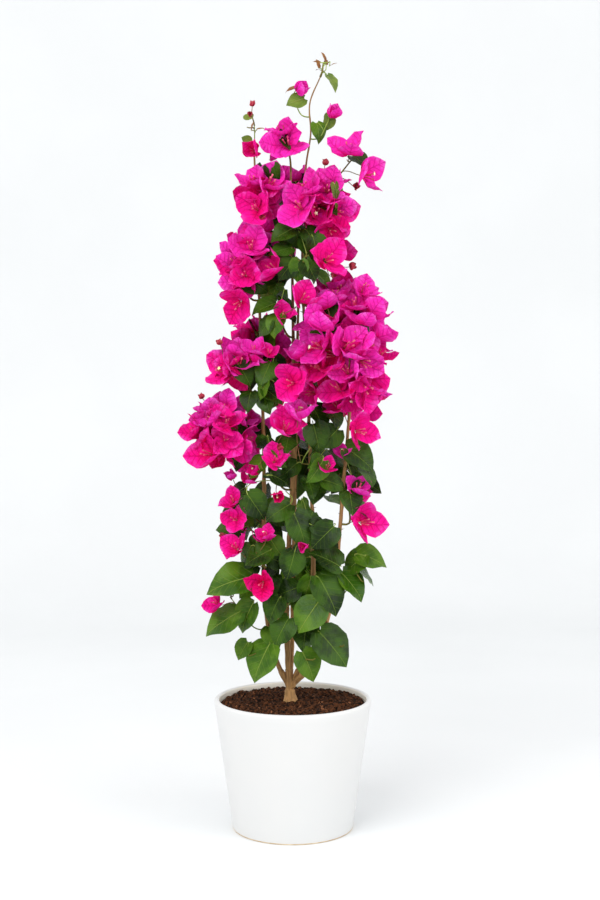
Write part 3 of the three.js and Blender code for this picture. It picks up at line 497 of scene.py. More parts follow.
class Bloom(Growth):
    """A bloom of three bracts, how far it is open, and how lit its bracts are painted."""

    droop = 0

    def __init__(self, base, along, face, length, opening, bright):
        super().__init__(base, along, face, length)
        self.front, self.reach, self.opening, self.bright = along, length, opening, bright

    def points(self):
        """The tips of the bracts and the middles of their sides."""
        points = []
        for third in THIRDS:
            out = turned(self.face, self.side, third)
            across = 0.36 * turned(self.side, -self.face, third)
            middle = 0.44 * self.along + (0.16 + 0.3 * math.sin(self.opening)) * out
            points += [turned(self.along, out, self.opening), middle + across, middle - across]
        return self.base + self.length * np.array(points)

    def touches(self, beads):
        height, y, z, room = self.offsets(beads)
        out = np.hypot(y, z)
        bowl = out / math.tan(self.opening)
        inside = (height > -room) & (out < math.sin(self.opening) + room)
        near = (height < bowl + 0.14 + room) & (height > 0.5 * bowl - 0.14 - room)
        return bool((inside & near).any())


# ---- Growing a spray ----


def joints_along(path, start):
    """Places on a path where stalks can start, each with the path's direction there."""
    course, at = resampled(path, np.linspace(0, 1, len(path)), JOINT_STEP)
    onward = np.gradient(course, axis=0)
    return [(place, unit(way)) for place, way, t in zip(course, onward, at) if t >= start]


def stalk_to(piece, joints):
    """A curved stalk from the best joint near a leaf or bloom to its base, or None."""
    if not joints:
        return None
    reach = piece.base - np.array([place for place, _ in joints])
    distance = np.linalg.norm(reach, axis=1)
    cost = distance * (1.6 - (reach @ piece.front) / np.maximum(distance, 1e-6))
    cost[distance < 4 * MM] = 1
    i = int(np.argmin(cost))
    if distance[i] > STALK_REACH:
        return None
    place, onward = joints.pop(i)
    start = unit(0.6 * onward + unit(reach[i]))
    end = piece.base - 0.35 * distance[i] * piece.along + piece.droop * distance[i] * UP
    return bezier((place, place + 0.4 * distance[i] * start, end, piece.base), 6)


def crowded(piece, others, spacing):
    """Whether a piece stands too near to others, by the mean of their reaches."""
    return any(
        np.linalg.norm(other.middle - piece.middle) < spacing * 0.5 * (piece.reach + other.reach)
        for other in others
    )


def grow_twigs(own, spray, turn, beads):
    """A spray's side twigs, which curve up to their ends inside the spray."""
    joints = joints_along(spray.stem, 0.3)
    twigs = []
    count = round((spray.blooms + spray.leaves) / 2.5)
    for n in range(4 * count):
        if len(twigs) == count:
            break
        direction = spread_direction(n, turn + 0.37)
        end = spray.centre + direction * spray.half * TWIG_SHARE
        places = np.array([place for place, _ in joints])
        start = int(np.argmin(np.linalg.norm(places - end, axis=1)))
        place, onward = joints[start]
        reach = np.linalg.norm(end - place)
        if direction.dot(spray.facing) < -0.5 or reach < 12 * MM or not in_space(end[None], own):
            continue
        corners = (place, place + 0.35 * reach * onward, end - 0.3 * reach * UP, end)
        path = bezier(corners, 6)
        others = beads[beads[:, 4] != own]
        if (np.linalg.norm(others[:, None, :3] - path, axis=2) < others[:, None, 3] + 3 * MM).any():
            continue
        twigs.append(path)
        joints += joints_along(path, 0.3)
        joints.pop(start)
    return twigs, joints


def grow_spray(own, beads, settled):
    """Grows one spray: its twigs, the blooms and leaves with a place of their own, and then
    rounds of others, near its surface and further in."""
    spray = sprays()[own]
    random = random_stream(SEED + 97 * own)
    turn = random(0, 1)
    others, limbs_only = beads[beads[:, 4] != own], beads[beads[:, 4] < 0]
    twigs, joints = grow_twigs(own, spray, turn, beads)
    grown = SimpleNamespace(twigs=twigs, blooms=[], leaves=[])

    def shake():
        return np.array([random(-1, 1) for _ in range(3)])

    def new_bloom(base, along, sway, length, opened, bright):
        small = min(length, spray.bract) < BUD_LENGTH
        opening = BUD_OPENING if small else mix(*BLOOM_OPENING, opened)
        return Bloom(base, along, sway, length, opening, spray.tone + bright)

    def new_leaf(base, along, sway, length):
        face = spray.facing + 0.45 * UP + 0.55 * sway
        return Leaf(base, along, face, length, spray.age + 0.25 * sway[1])

    def keep(piece, kept):
        """Keeps a bloom or leaf where a twig can hold it."""
        piece.stalk = stalk_to(piece, joints)
        if piece.stalk is not None:
            kept.append(piece)
            settled.append(piece)

    def bloom_towards(n, depth):
        """A bloom in the nth direction, or none behind the spray."""
        direction, sway = spread_direction(n, turn), shake()
        opened, length = random(0, 1), spray.bract * random(*BRACT_SPREAD)
        if direction.dot(spray.facing) < -0.6:
            return None
        shell = np.maximum(spray.half - BLOOM_DEPTH * length, LEAST_SHELL)
        base = spray.centre + shell * direction * depth * (1 + 0.24 * sway[0])
        along = unit(0.7 * direction + 0.1 * spray.facing + 0.45 * UP + 0.6 * sway)
        # Painted light: blooms high on the spray and out to its sides get a more lit tint, those deeper in
        # get painted shade, and the sway adds a random part.
        bright = 0.5 * direction[2] + 0.4 * abs(direction[0]) + 0.5 * sway[1] - 1.2 * (1 - depth)
        return new_bloom(base, along, sway, length, opened, bright)

    def leaf_towards(n, depth, size=1.0):
        """A leaf in the nth direction, which points sideways out of the spray."""
        direction = spread_direction(n, turn + 0.61)
        length = spray.leaf * size * random(*LEAF_SPREAD)
        sideways = direction - 0.6 * max(0, direction.dot(spray.facing)) * spray.facing
        along = unit(np.array([sideways[0], sideways[1], spray.rise]) + 0.45 * shake())
        shell = np.maximum(spray.half - LEAF_DEPTH * length, LEAST_SHELL)
        middle = spray.centre + shell * direction * depth
        return new_leaf(middle - along * length / 2, along, shake(), length)

    def fill(kept, towards, count, depth, spacing, *size):
        """Sets up to a number of blooms or leaves where they have room."""
        full = len(kept) + count
        for n in range(TRIES * count):
            if len(kept) >= full:
                break
            piece = towards(n, depth, *size)
            if piece is None or crowded(piece, settled, spacing):
                continue
            if in_space(piece.points(), own) and not piece.touches(others):
                keep(piece, kept)

    for *place, length in SET_BLOOMS.get(spray.name, ()):
        base, sway = np.array(place) * MM, shake()
        outward = unit((base - spray.centre) / spray.half)
        along = unit(0.6 * outward + 0.35 * spray.facing + 0.4 * UP + 0.25 * sway)
        # Painted light: set blooms that stand higher in the spray get a more lit tint.
        bloom = new_bloom(base, along, sway, length * MM, 0.5, 0.2 + 0.4 * outward[2])
        if not bloom.touches(limbs_only):
            keep(bloom, grown.blooms)
    for foot, tip in SET_LEAVES.get(spray.name, ()):
        base, reach = np.array(foot) * MM, (np.array(tip) - foot) * MM
        keep(new_leaf(base, unit(reach), 0.5 * shake(), np.linalg.norm(reach)), grown.leaves)

    blooms, leaves = (grown.blooms, bloom_towards), (grown.leaves, leaf_towards)
    if spray.slight:
        fill(*blooms, spray.blooms - len(grown.blooms), *OPEN_BLOOMS)
        fill(*leaves, spray.leaves - len(grown.leaves), *OPEN_LEAVES)
        return grown
    more, inner = (FULLER_BLOOMS, INNER_BLOOM_SHARE) if spray.blooms > FEW_BLOOMS else (1, 0)
    fill(*blooms, round(more * spray.blooms) - len(grown.blooms), *OUTER_BLOOMS)
    fill(*leaves, round(FULLER_LEAVES * spray.leaves) - len(grown.leaves), *OUTER_LEAVES)
    fill(*blooms, round(inner * spray.blooms), *INNER_BLOOMS)
    fill(*leaves, round(INNER_LEAF_SHARE * (spray.blooms + spray.leaves)), *INNER_LEAVES)
    return grown


def grow_stem_leaves(beads, settled):
    """Leaves that grow on the limbs themselves, wherever the sprays' spaces take them in."""
    grown = SimpleNamespace(twigs=[], blooms=[], leaves=[])
    limbs_only = beads[beads[:, 4] < 0]
    random = random_stream(SEED + 3)
    for name in (*STEMS, "leader"):
        course, sizes, _, normals, binormals = frames_along(*limb(name), STEM_LEAF_STEP)
        for i in range(1, len(course) - 1):
            angle = 2.4 * i + random(-0.4, 0.4)
            sway = np.array([random(-1, 1) for _ in range(3)])
            reach, size = random(*STEM_LEAF_REACH), random(0.7, 1.05)
            out = turned(normals[i], binormals[i], angle)
            place = course[i] + out * sizes[i] * 0.8
            base = place + out * reach + 0.4 * reach * UP
            along = unit(0.7 * out - 0.6 * UP + 0.3 * sway)
            face = out + np.array([0, -0.5 if out[1] < 0.3 else 0.5, 0.35])
            length = LEAF_LENGTH * MM * size * (1 - 0.2 * max(0, course[i][2] - 0.6) / 0.6)
            leaf = Leaf(base, along, face, length, 0.3 * sway[1])
            if crowded(leaf, settled, OUTER_LEAVES[1]) or not in_some_space(leaf.points()):
                continue
            if leaf.touches(limbs_only):
                continue
            rising = place + 0.4 * reach * unit(out + UP)
            leaf.stalk = bezier((place, rising, base - 0.3 * reach * along, base), 6)
            grown.leaves.append(leaf)
            settled.append(leaf)
    return grown


@functools.cache
def crown():
    """Everything that grows: spray by spray, and last the leaves on the limbs themselves."""
    beads = [beads_along(*limb(name), -1) for name in LIMBS]
    for i, spray in enumerate(sprays()):
        beads.append(beads_along(spray.stem, np.full(len(spray.stem), TWIG_RADII[0]), i))
    beads = np.vstack(beads)
    settled = []
    grown = [grow_spray(i, beads, settled) for i in range(len(sprays()))]
    return [*grown, grow_stem_leaves(beads, settled)]


# ---- Meshes ----


def piece_object(name, mesh):
    piece = bpy.data.objects.new(name, mesh)
    bpy.context.scene.collection.objects.link(piece)
    return piece


def finished(piece, slot, *nodes):
    """Tells the frame what a finished piece rides on and stands for. Its slot is not used."""
    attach(piece, "root")
    if nodes:
        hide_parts(*nodes)
    return piece


def mesh_of(name, vertices, faces, material=None, uv=None):
    """A smooth mesh, with a place in the bake's map for each vertex where `uv` gives them."""
    mesh = bpy.data.meshes.new(name)
    mesh.from_pydata([tuple(vertex) for vertex in vertices], [], faces)
    if uv is not None:
        layer = mesh.uv_layers.new(name="OFBake")
        corners = np.empty(len(mesh.loops), dtype=int)
        mesh.loops.foreach_get("vertex_index", corners)
        layer.data.foreach_set("uv", np.asarray(uv)[corners].ravel())
    if material:
        mesh.materials.append(material)
    mesh.shade_smooth()
    mesh.validate()
    return mesh


def tube_faces(rings, sides):
    """The faces of a closed tube of rings, with its two ends capped."""
    faces = [list(range(sides))[::-1], [(rings - 1) * sides + side for side in range(sides)]]
    for ring in range(rings - 1):
        for side in range(sides):
            a, b = ring * sides + side, ring * sides + (side + 1) % sides
            faces.append((a, b, b + sides, a + sides))
    return faces


def blade_mesh(name, half_width, surface, thickness, rows=8, columns=6):
    """A thin closed blade. `half_width` gives its outline by the share of its length, and
    `surface` the place of a point by its shares across and along. Its rim is a sharp edge."""
    along = np.linspace(0, 1, rows + 1) ** 1.15
    across = np.sin(np.linspace(-1, 1, columns + 1) * math.pi / 2)
    top = np.array([[surface(s, t) for s in across] for t in along])
    normals = np.cross(np.gradient(top, axis=0), np.gradient(top, axis=1))
    normals /= np.maximum(np.linalg.norm(normals, axis=2), 1e-9)[:, :, None]
    body = thickness * (1 - across[None, :, None] ** 2) * (1 - 0.6 * along[:, None, None])
    widest = max(half_width(t) for t in along) * 1.03
    vertices, places, faces, sheets = [], [], [], []
    for way in (0.5, -0.5):
        index = np.zeros((rows + 1, columns + 1), int)
        for r, t in enumerate(along):
            for c, s in enumerate(across):
                rim = r in (0, rows) or c in (0, columns)
                if r == rows and c > 0:
                    index[r, c] = index[r, 0]
                elif rim and way < 0:
                    index[r, c] = sheets[0][r, c]
                else:
                    index[r, c] = len(vertices)
                    vertices.append(top[r, c] + normals[r, c] * body[r, c] * (0 if rim else way))
                    places.append((0.5 + 0.5 * s * half_width(t) / widest, 0.015 + 0.97 * t))
        sheets.append(index)
        for r in range(rows):
            for c in range(columns):
                face = [index[r, c], index[r + 1, c], index[r + 1, c + 1], index[r, c + 1]]
                if r == rows - 1:
                    face.pop(2)
                faces.append(face if way > 0 else face[::-1])
    mesh = mesh_of(name, vertices, faces, uv=places)
    rim = {*sheets[0][0], *sheets[0][rows], *sheets[0][:, 0], *sheets[0][:, columns]}
    for edge in mesh.edges:
        edge.use_edge_sharp = rim.issuperset(edge.vertices)
    return mesh


def rounded_outline(t, foot, widest, at, fullness):
    """Half a blade's width: a round shoulder up to its widest, then drawn in to a short point."""
    if t < at:
        return foot + (widest - foot) * math.sqrt(1 - (1 - t / at) ** 2)
    past = (t - at) / (1 - at)
    return widest * (1 - past**fullness) * (1 - 0.1 * past)


def bract_width(t):
    """Half a bract's width, in its lengths."""
    return rounded_outline(t, 0.16, 0.53, 0.45, 2.4)


def bract_surface(seed, cup, recurve):
    """A papery bract: cupped round the flower, its tip bent out, its sides waved."""
    shift = Vector((3.7 * seed, 1.9 * seed, 0))

    def surface(s, t):
        x = s * bract_width(t)
        bow = 0.16 * math.sin(math.pi * min(t / 0.9, 1)) + recurve * max(t - 0.45, 0) ** 2
        hem = s * s * min(1, 3 * t)
        wave = 0.17 * noise.noise(Vector((1.5 * np.sign(s), 4.2 * t, 0)) + shift) * hem
        crease = 0.06 * noise.noise(Vector((6 * x, 5 * t, 4)) + shift)
        y = bow - cup * (1 - 0.35 * t) * (x / 0.5) ** 2 + wave + crease
        return np.array([x * (1 - 0.35 * cup * abs(s)), y, t + 0.05 * wave])

    return surface


def leaf_width(t):
    """Half a leaf's width, in its lengths: a broad heart drawn out to its tip."""
    return rounded_outline(t, 0.17, 0.49, 0.35, 2.1)


def leaf_surface(seed, fold, droop, curl, breadth=1.0):
    """A leaf's blade: lobed at the foot, folded along the midrib, drooping and a little waved."""
    shift = Vector((5.1 * seed, 2.3 * seed, 7))

    def surface(s, t):
        x = s * leaf_width(t) * breadth
        lobe = 0.13 * abs(s) ** 1.5 * (1 - t) ** 5
        wave = 0.09 * noise.noise(Vector((2 * np.sign(s), 5 * t, 0)) + shift) * abs(s) ** 1.5
        y = fold * abs(x) - droop * t * t - curl * max(t - 0.75, 0) ** 2 * 6 + wave
        return np.array([x, y, t - lobe])

    return surface


# ---- Node helpers ----


def node(tree, kind, inputs, **settings):
    """Adds a node with its inputs and settings."""
    made = tree.nodes.new(kind)
    for key, value in settings.items():
        setattr(made, key, value)
    return feed(tree, made, inputs)


def feed(tree, made, inputs):
    """Links the inputs of a node that are given a socket, and sets the others."""
    for key, value in inputs.items():
        if isinstance(value, bpy.types.NodeSocket):
            tree.links.new(value, made.inputs[key])
        else:
            made.inputs[key].default_value = value
    return made


def new_tree(name, kind, inputs, outputs):
    """A node group with named inputs and outputs: the tree, what it is given, and its end."""
    tree = bpy.data.node_groups.new(name, kind)
    for way, sockets in (("INPUT", inputs), ("OUTPUT", outputs)):
        for label, socket_type, *default in sockets:
            socket = tree.interface.new_socket(label, in_out=way, socket_type="NodeSocket" + socket_type)
            if default:
                socket.default_value = default[0]
    return tree, tree.nodes.new("NodeGroupInput").outputs, tree.nodes.new("NodeGroupOutput")


def end_tree(tree, end, geometry, material):
    """Ends a Geometry Nodes tree in Realize Instances and Set Material."""
    real = node(tree, "GeometryNodeRealizeInstances", {"Geometry": geometry})
    painted = node(tree, "GeometryNodeSetMaterial", {"Geometry": real.outputs[0], "Material": material})
    feed(tree, end, {0: painted.outputs[0]})


def own_value(tree, name, data_type, scale=None):
    """What each point has under a name, times a scale where one is given."""
    value = node(tree, "GeometryNodeInputNamedAttribute", {"Name": name}, data_type=data_type).outputs[0]
    return value if scale is None else calc(tree, "MULTIPLY", value, scale)


def deal_out(tree, given, end, inputs):
    """Sets the given shapes on points, and ends the tree."""
    shapes = node(tree, "GeometryNodeCollectionInfo", {
        "Collection": given["Shapes"], "Separate Children": True, "Reset Children": True})
    dealt = node(tree, "GeometryNodeInstanceOnPoints", {
        "Instance": shapes.outputs[0], "Pick Instance": True, **inputs})
    end_tree(tree, end, dealt.outputs[0], given["Material"])


GEOMETRY = ("Geometry", "Geometry")
MATERIAL = ("Material", "Material")
SHAPES = ("Shapes", "Collection")


@functools.cache
def deal_out_tree():
    """Sets one of the given shapes on each point, by its own turn, size and shape number."""
    tree, given, end = new_tree(
        "Deal Out", "GeometryNodeTree", [GEOMETRY, SHAPES, ("Size", "Float", 1.0), MATERIAL], [GEOMETRY])
    deal_out(tree, given, end, {
        "Points": given["Geometry"],
        "Instance Index": own_value(tree, "shape", "INT"),
        "Rotation": own_value(tree, "turn", "QUATERNION"),
        "Scale": own_value(tree, "size", "FLOAT", given["Size"])})
    return tree


@functools.cache
def tube_tree():
    """Draws round tubes along edges, as thick as their points say."""
    tree, given, end = new_tree(
        "Twig Tubes", "GeometryNodeTree",
        [GEOMETRY, ("Thickness", "Float", 1.0), ("Sides", "Int", 6), MATERIAL], [GEOMETRY])
    curves = node(tree, "GeometryNodeMeshToCurve", {"Mesh": given["Geometry"]})
    ring = node(tree, "GeometryNodeCurvePrimitiveCircle", {"Resolution": given["Sides"], "Radius": 1.0})
    tubes = node(tree, "GeometryNodeCurveToMesh", {
        "Curve": curves.outputs[0], "Profile Curve": ring.outputs[0], "Fill Caps": True,
        "Scale": own_value(tree, "thickness", "FLOAT", given["Thickness"])})
    smooth = node(tree, "GeometryNodeSetShadeSmooth", {"Geometry": tubes.outputs[0]})
    end_tree(tree, end, smooth.outputs[0], given["Material"])
    return tree


@functools.cache
def crumb_tree():
    """Strews the given shapes over a surface, each at its own turn and size."""
    tree, given, end = new_tree(
        "Crumbs", "GeometryNodeTree",
        [GEOMETRY, SHAPES, ("Density", "Float", 1000.0), ("Smallest", "Float", 0.5),
         ("Largest", "Float", 1.5), ("Seed", "Int", 1), MATERIAL], [GEOMETRY])
    seed = given["Seed"]
    strewn = node(tree, "GeometryNodeDistributePointsOnFaces", {
        "Mesh": given["Geometry"], "Density": given["Density"], "Seed": seed})
    turn = node(tree, "FunctionNodeRandomValue", {0: (0, 0, 0), 1: (2 * math.pi,) * 3, "Seed": seed},
                data_type="FLOAT_VECTOR")
    size = node(tree, "FunctionNodeRandomValue", {2: given["Smallest"], 3: given["Largest"], "Seed": seed},
                data_type="FLOAT")
    deal_out(tree, given, end, {
        "Points": strewn.outputs[0], "Rotation": turn.outputs[0], "Scale": size.outputs[1]})
    return tree


# ---- Finishes ----


def calc(tree, operation, *values):
    """A sum on values or sockets, as a socket."""
    return node(tree, "ShaderNodeMath", dict(enumerate(values)), operation=operation).outputs[0]


def blend(tree, share, low, high):
    """Two colours mixed by a share."""
    return node(tree, "ShaderNodeMix", {0: share, 6: low, 7: high}, data_type="RGBA").outputs[2]


def ramp(tree, value, low, high):
    """A smooth rise from 0 to 1 as a value goes from low to high."""
    return node(tree, "ShaderNodeMapRange", {"Value": value, "From Min": low, "From Max": high},
                interpolation_type="SMOOTHSTEP").outputs[0]


def falling(tree, value, low, high):
    """A smooth fall from 1 to 0 as a value goes from low to high."""
    return calc(tree, "SUBTRACT", 1.0, ramp(tree, value, low, high))


def srgb(red, green, blue):
    """A linear colour, with its alpha, from one given in sRGB's 0 to 255."""
    def linear(share):
        return share / 12.92 if share < 0.04045 else ((share + 0.055) / 1.055) ** 2.4
    return (linear(red / 255), linear(green / 255), linear(blue / 255), 1.0)


@functools.cache
def mottle_group():
    """Soft patches and a fine grain over a surface."""
    tree, given, end = new_tree(
        "Mottle", "ShaderNodeTree",
        [("Place", "Vector"), ("Patch Scale", "Float", 20.0), ("Grain Scale", "Float", 200.0),
         ("Grain Share", "Float", 0.4)], [("Patches", "Float"), ("Height", "Float")])
    patches, grain = [
        node(tree, "ShaderNodeTexNoise", {
            "Vector": given["Place"], "Scale": given[scale], "Detail": detail}).outputs[0]
        for scale, detail in (("Patch Scale", 3.0), ("Grain Scale", 2.0))]
    height = calc(tree, "MULTIPLY_ADD", grain, given["Grain Share"], patches)
    feed(tree, end, {"Patches": ramp(tree, patches, 0.36, 0.66), "Height": height})
    return tree


@functools.cache
def vein_group():
    """A leaf's midrib, side veins and net, from its place across (x) and along (y)."""
    tree, given, end = new_tree(
        "Leaf Veins", "ShaderNodeTree",
        [("Place", "Vector"), ("Side Veins", "Float", 6.0), ("Sweep", "Float", 2.4),
         ("Vein Width", "Float", 0.1), ("Net Scale", "Float", 16.0)],
        [(label, "Float") for label in ("Midrib", "Veins", "Net", "Outward", "Along")])
    x, along, _ = node(tree, "ShaderNodeSeparateXYZ", {0: given["Place"]}).outputs
    across = calc(tree, "ABSOLUTE", calc(tree, "MULTIPLY_ADD", x, 2.0, -1.0))
    thin = calc(tree, "MULTIPLY_ADD", along, -0.035, 0.05)
    midrib = falling(tree, calc(tree, "DIVIDE", across, thin), 0.35, 1.0)
    swept = calc(tree, "MULTIPLY", calc(tree, "POWER", across, 0.8), given["Sweep"])
    phase = calc(tree, "SUBTRACT", calc(tree, "MULTIPLY", along, given["Side Veins"]), swept)
    off = calc(tree, "ABSOLUTE", calc(tree, "SUBTRACT", calc(tree, "FRACT", phase), 0.5))
    wide = calc(tree, "MULTIPLY", given["Vein Width"], calc(tree, "MULTIPLY_ADD", across, -0.8, 1.0))
    veins = falling(tree, calc(tree, "DIVIDE", off, wide), 0.3, 1.0)
    cells = node(tree, "ShaderNodeTexVoronoi", {"Vector": given["Place"], "Scale": given["Net Scale"]},
                 feature="DISTANCE_TO_EDGE")
    feed(tree, end, {
        "Midrib": midrib, "Veins": calc(tree, "MULTIPLY", veins, falling(tree, across, 0.55, 0.95)),
        "Net": falling(tree, cells.outputs[0], 0.0, 0.09), "Outward": across, "Along": along})
    return tree


def new_material(name):
    """A material with its tree, its shader and the places that patterns follow."""
    material = bpy.data.materials.new(name)
    material.use_nodes = True
    tree = material.node_tree
    place = node(tree, "ShaderNodeTexCoord", {}).outputs["Object"]
    return material, tree, tree.nodes["Principled BSDF"], place


def finish_surface(tree, shader, colour, roughness, height, relief, **own):
    """Feeds a colour, a roughness, a relief of some depth, in metres, and more to the shader."""
    bump = node(tree, "ShaderNodeBump", {"Height": height, "Distance": relief})
    feed(tree, shader, {"Base Color": colour, "Roughness": roughness, "Normal": bump.outputs[0]})
    feed(tree, shader, {label.replace("_", " "): value for label, value in own.items()})


def mottle_nodes(tree, place, patch=20.0, grain=200.0, share=0.4):
    """The mottle group in a material: its patches and its height."""
    return node(tree, "ShaderNodeGroup", {
        "Place": place, "Patch Scale": patch, "Grain Scale": grain, "Grain Share": share},
        node_tree=mottle_group()).outputs.values()


def mottled(name, dark, light, roughness, relief, patch=20.0, grain=200.0, share=0.4):
    """A plain finish of two close colours, with its grain."""
    material, tree, shader, place = new_material(name)
    patches, height = mottle_nodes(tree, place, patch, grain, share)
    finish_surface(tree, shader, blend(tree, patches, dark, light), roughness, height, relief,
                   Specular_IOR_Level=0.15)
    return material


def mix_shaders(tree, share, other):
    """Mixes another shader into a material's own."""
    mixed = node(tree, "ShaderNodeMixShader", {
        0: share, 1: tree.nodes["Principled BSDF"].outputs[0], 2: other.outputs[0]})
    feed(tree, tree.nodes["Material Output"], {"Surface": mixed.outputs[0]})


def see_light_through(tree, colour, share):
    """Lets some light through a thin blade."""
    mix_shaders(tree, share, node(tree, "ShaderNodeBsdfTranslucent", {"Color": colour}))


def vein_nodes(tree, count, sweep, width, net):
    """The vein group in a material, on the blade's own map."""
    blade = node(tree, "ShaderNodeUVMap", {}, uv_map="OFBake")
    return node(tree, "ShaderNodeGroup", {
        "Place": blade.outputs[0], "Side Veins": count, "Sweep": sweep, "Vein Width": width,
        "Net Scale": net}, node_tree=vein_group()).outputs


def bract_material(name, foot_shade, body, rim):
    """Papery bracts: darker along the veins, with painted shade at the foot and a painted highlight, paler
    and more violet, at the rim.
    """
    material, tree, shader, place = new_material(name)
    midrib, sides, net, outward, along = vein_nodes(tree, 5.0, 1.6, 0.16, 9.0)
    patches, height = mottle_nodes(tree, place, 70.0)
    # Painted light: shade painted at the bracts' foot, in the heart of the bloom, and a highlight painted
    # at the rim, varied by random patches.
    shade_to_highlight = calc(tree, "MULTIPLY_ADD", along, 0.75, calc(tree, "MULTIPLY", outward, 0.35))
    shade_to_highlight = calc(tree, "MULTIPLY_ADD", patches, 0.3, shade_to_highlight)
    colour = blend(tree, ramp(tree, shade_to_highlight, 0.05, 0.7), foot_shade, body)
    colour = blend(tree, ramp(tree, shade_to_highlight, 0.7, 1.25), colour, rim)
    lines = calc(tree, "MAXIMUM", calc(tree, "MULTIPLY", sides, 0.8), midrib)
    lines = calc(tree, "MAXIMUM", lines, calc(tree, "MULTIPLY", net, 0.4))
    vein = (*(0.7 * share for share in foot_shade[:3]), 1.0)
    colour = blend(tree, calc(tree, "MULTIPLY", lines, 0.6), colour, vein)
    height = calc(tree, "MULTIPLY_ADD", lines, 1.2, height)
    finish_surface(tree, shader, colour, 0.7, height, BLADE_RELIEF, Specular_IOR_Level=0.06)
    see_light_through(tree, colour, 0.3)
    return material


def leaf_material(name, dark, light, vein):
    """Satin leaves: mottled green, with a pale midrib and side veins."""
    material, tree, shader, place = new_material(name)
    midrib, sides, net, outward, _ = vein_nodes(tree, 6.0, 2.3, 0.09, 24.0)
    patches, height = mottle_nodes(tree, place, 30.0)
    colour = blend(tree, patches, dark, light)
    colour = blend(tree, calc(tree, "MULTIPLY", ramp(tree, outward, 0.6, 1.0), 0.3), colour, light)
    lines = calc(tree, "MAXIMUM", calc(tree, "MULTIPLY", sides, 0.32), midrib)
    colour = blend(tree, calc(tree, "MULTIPLY", lines, 0.6), colour, vein)
    height = calc(tree, "SUBTRACT", calc(tree, "MULTIPLY", height, 0.5),
                  calc(tree, "MULTIPLY_ADD", net, 0.15, lines))
    roughness = calc(tree, "MULTIPLY_ADD", patches, 0.1, 0.22)
    finish_surface(tree, shader, colour, roughness, height, BLADE_RELIEF, Specular_IOR_Level=0.2)
    see_light_through(tree, colour, 0.12)
    return material


def bark_material(name, low, high, fissure, change):
    """Bark that runs with the limb: low and high colours that meet at a height, dark fissures."""
    material, tree, shader, place = new_material(name)
    stretched = node(tree, "ShaderNodeMapping", {"Vector": place, "Scale": (1, 1, 0.12)})
    patches, height = mottle_nodes(tree, stretched.outputs[0], 420.0, 1600.0)
    spots, _ = mottle_nodes(tree, place, 70.0)
    level = node(tree, "ShaderNodeSeparateXYZ", {0: place}).outputs["Z"]
    rise = calc(tree, "MULTIPLY_ADD", spots, 0.12, level)
    colour = blend(tree, ramp(tree, rise, change - 0.12, change + 0.2), low, high)
    colour = blend(tree, calc(tree, "MULTIPLY_ADD", patches, 0.5, 0.5), fissure, colour)
    colour = blend(tree, calc(tree, "MULTIPLY", spots, 0.25), colour, low)
    finish_surface(tree, shader, colour, 0.78, height, 0.8 * MM)
    return material


def glaze_material(name, colour, tint):
    """A white satin glaze, a little uneven, as fired."""
    material, tree, shader, place = new_material(name)
    patches, height = mottle_nodes(tree, place, 9.0, 900.0, 0.02)
    blended = blend(tree, calc(tree, "MULTIPLY", patches, 0.5), colour, tint)
    roughness = calc(tree, "MULTIPLY_ADD", patches, 0.08, 0.3)
    finish_surface(tree, shader, blended, roughness, height, 0.6 * MM, Coat_Weight=0.25,
                   Coat_Roughness=0.15)
    return material


# ---- Making pieces ----


def grown_by(tree, name, mesh, shapes=(), **inputs):
    """The plain mesh that a Geometry Nodes tree makes from another, and from the shapes that it
    deals out, as a piece."""
    dealt_out = bpy.data.collections.new(name + "_shapes")
    for i, shape in enumerate(shapes):
        dealt_out.objects.link(bpy.data.objects.new(f"{name}_shape_{i:02d}", shape))
    if shapes:
        inputs["Shapes"] = dealt_out
    piece = piece_object(name, mesh)
    modifier = piece.modifiers.new(name, "NODES")
    modifier.node_group = tree
    for item in tree.interface.items_tree:
        if item.in_out == "INPUT" and item.name in inputs:
            modifier[item.identifier] = inputs[item.name]
    graph = bpy.context.evaluated_depsgraph_get()
    made = bpy.data.meshes.new_from_object(piece.evaluated_get(graph), depsgraph=graph)
    piece.modifiers.clear()
    piece.data = made
    bpy.data.meshes.remove(mesh)
    for shape in list(dealt_out.objects):
        bpy.data.objects.remove(shape)
    bpy.data.collections.remove(dealt_out)
    made.name = name
    return piece


def place_of(base, along, face, size, shape=0):
    """Where a copy of a shape goes: its foot, its turn, its size and which shape it is."""
    across = np.cross(face, along)
    turn = Matrix(np.array([across, face, along]).T.tolist()).to_quaternion()
    return SimpleNamespace(base=base, turn=tuple(turn), size=size, shape=shape)


def dealt(name, places, shapes, material, size=1.0):
    """One piece of joined copies of the shapes, one at each place."""
    mesh = bpy.data.meshes.new(name)
    mesh.from_pydata([tuple(place.base) for place in places], [], [])
    for label, kind in (("turn", "QUATERNION"), ("size", "FLOAT"), ("shape", "INT")):
        values = np.array([getattr(place, label) for place in places])
        mesh.attributes.new(label, kind, "POINT").data.foreach_set("value", values.ravel())
    return grown_by(deal_out_tree(), name, mesh, shapes, Size=size, Material=material)


def deal_tints(tints, places, slot, size, **own):
    """Makes one piece of each tint that has places, from its material and its shapes. `own`
    gives the nodes that a piece stands for."""
    for name, (material, shapes) in tints.items():
        if places[name]:
            finished(dealt(name, places[name], shapes, material, size), slot, *own.get(name, ()))


def tubes(name, lines, material, thickness=1.0, sides=6):
    """One piece of tubes along lines, each given as its points and their radii."""
    mesh = bpy.data.meshes.new(name)
    points, edges = [], []
    for path, _ in lines:
        edges += [(len(points) + i, len(points) + i + 1) for i in range(len(path) - 1)]
        points += path.tolist()
    mesh.from_pydata(points, edges, [])
    layer = mesh.attributes.new("thickness", "FLOAT", "POINT")
    layer.data.foreach_set("value", np.concatenate([radii for _, radii in lines]))
    return grown_by(tube_tree(), name, mesh, Thickness=thickness, Sides=sides, Material=material)


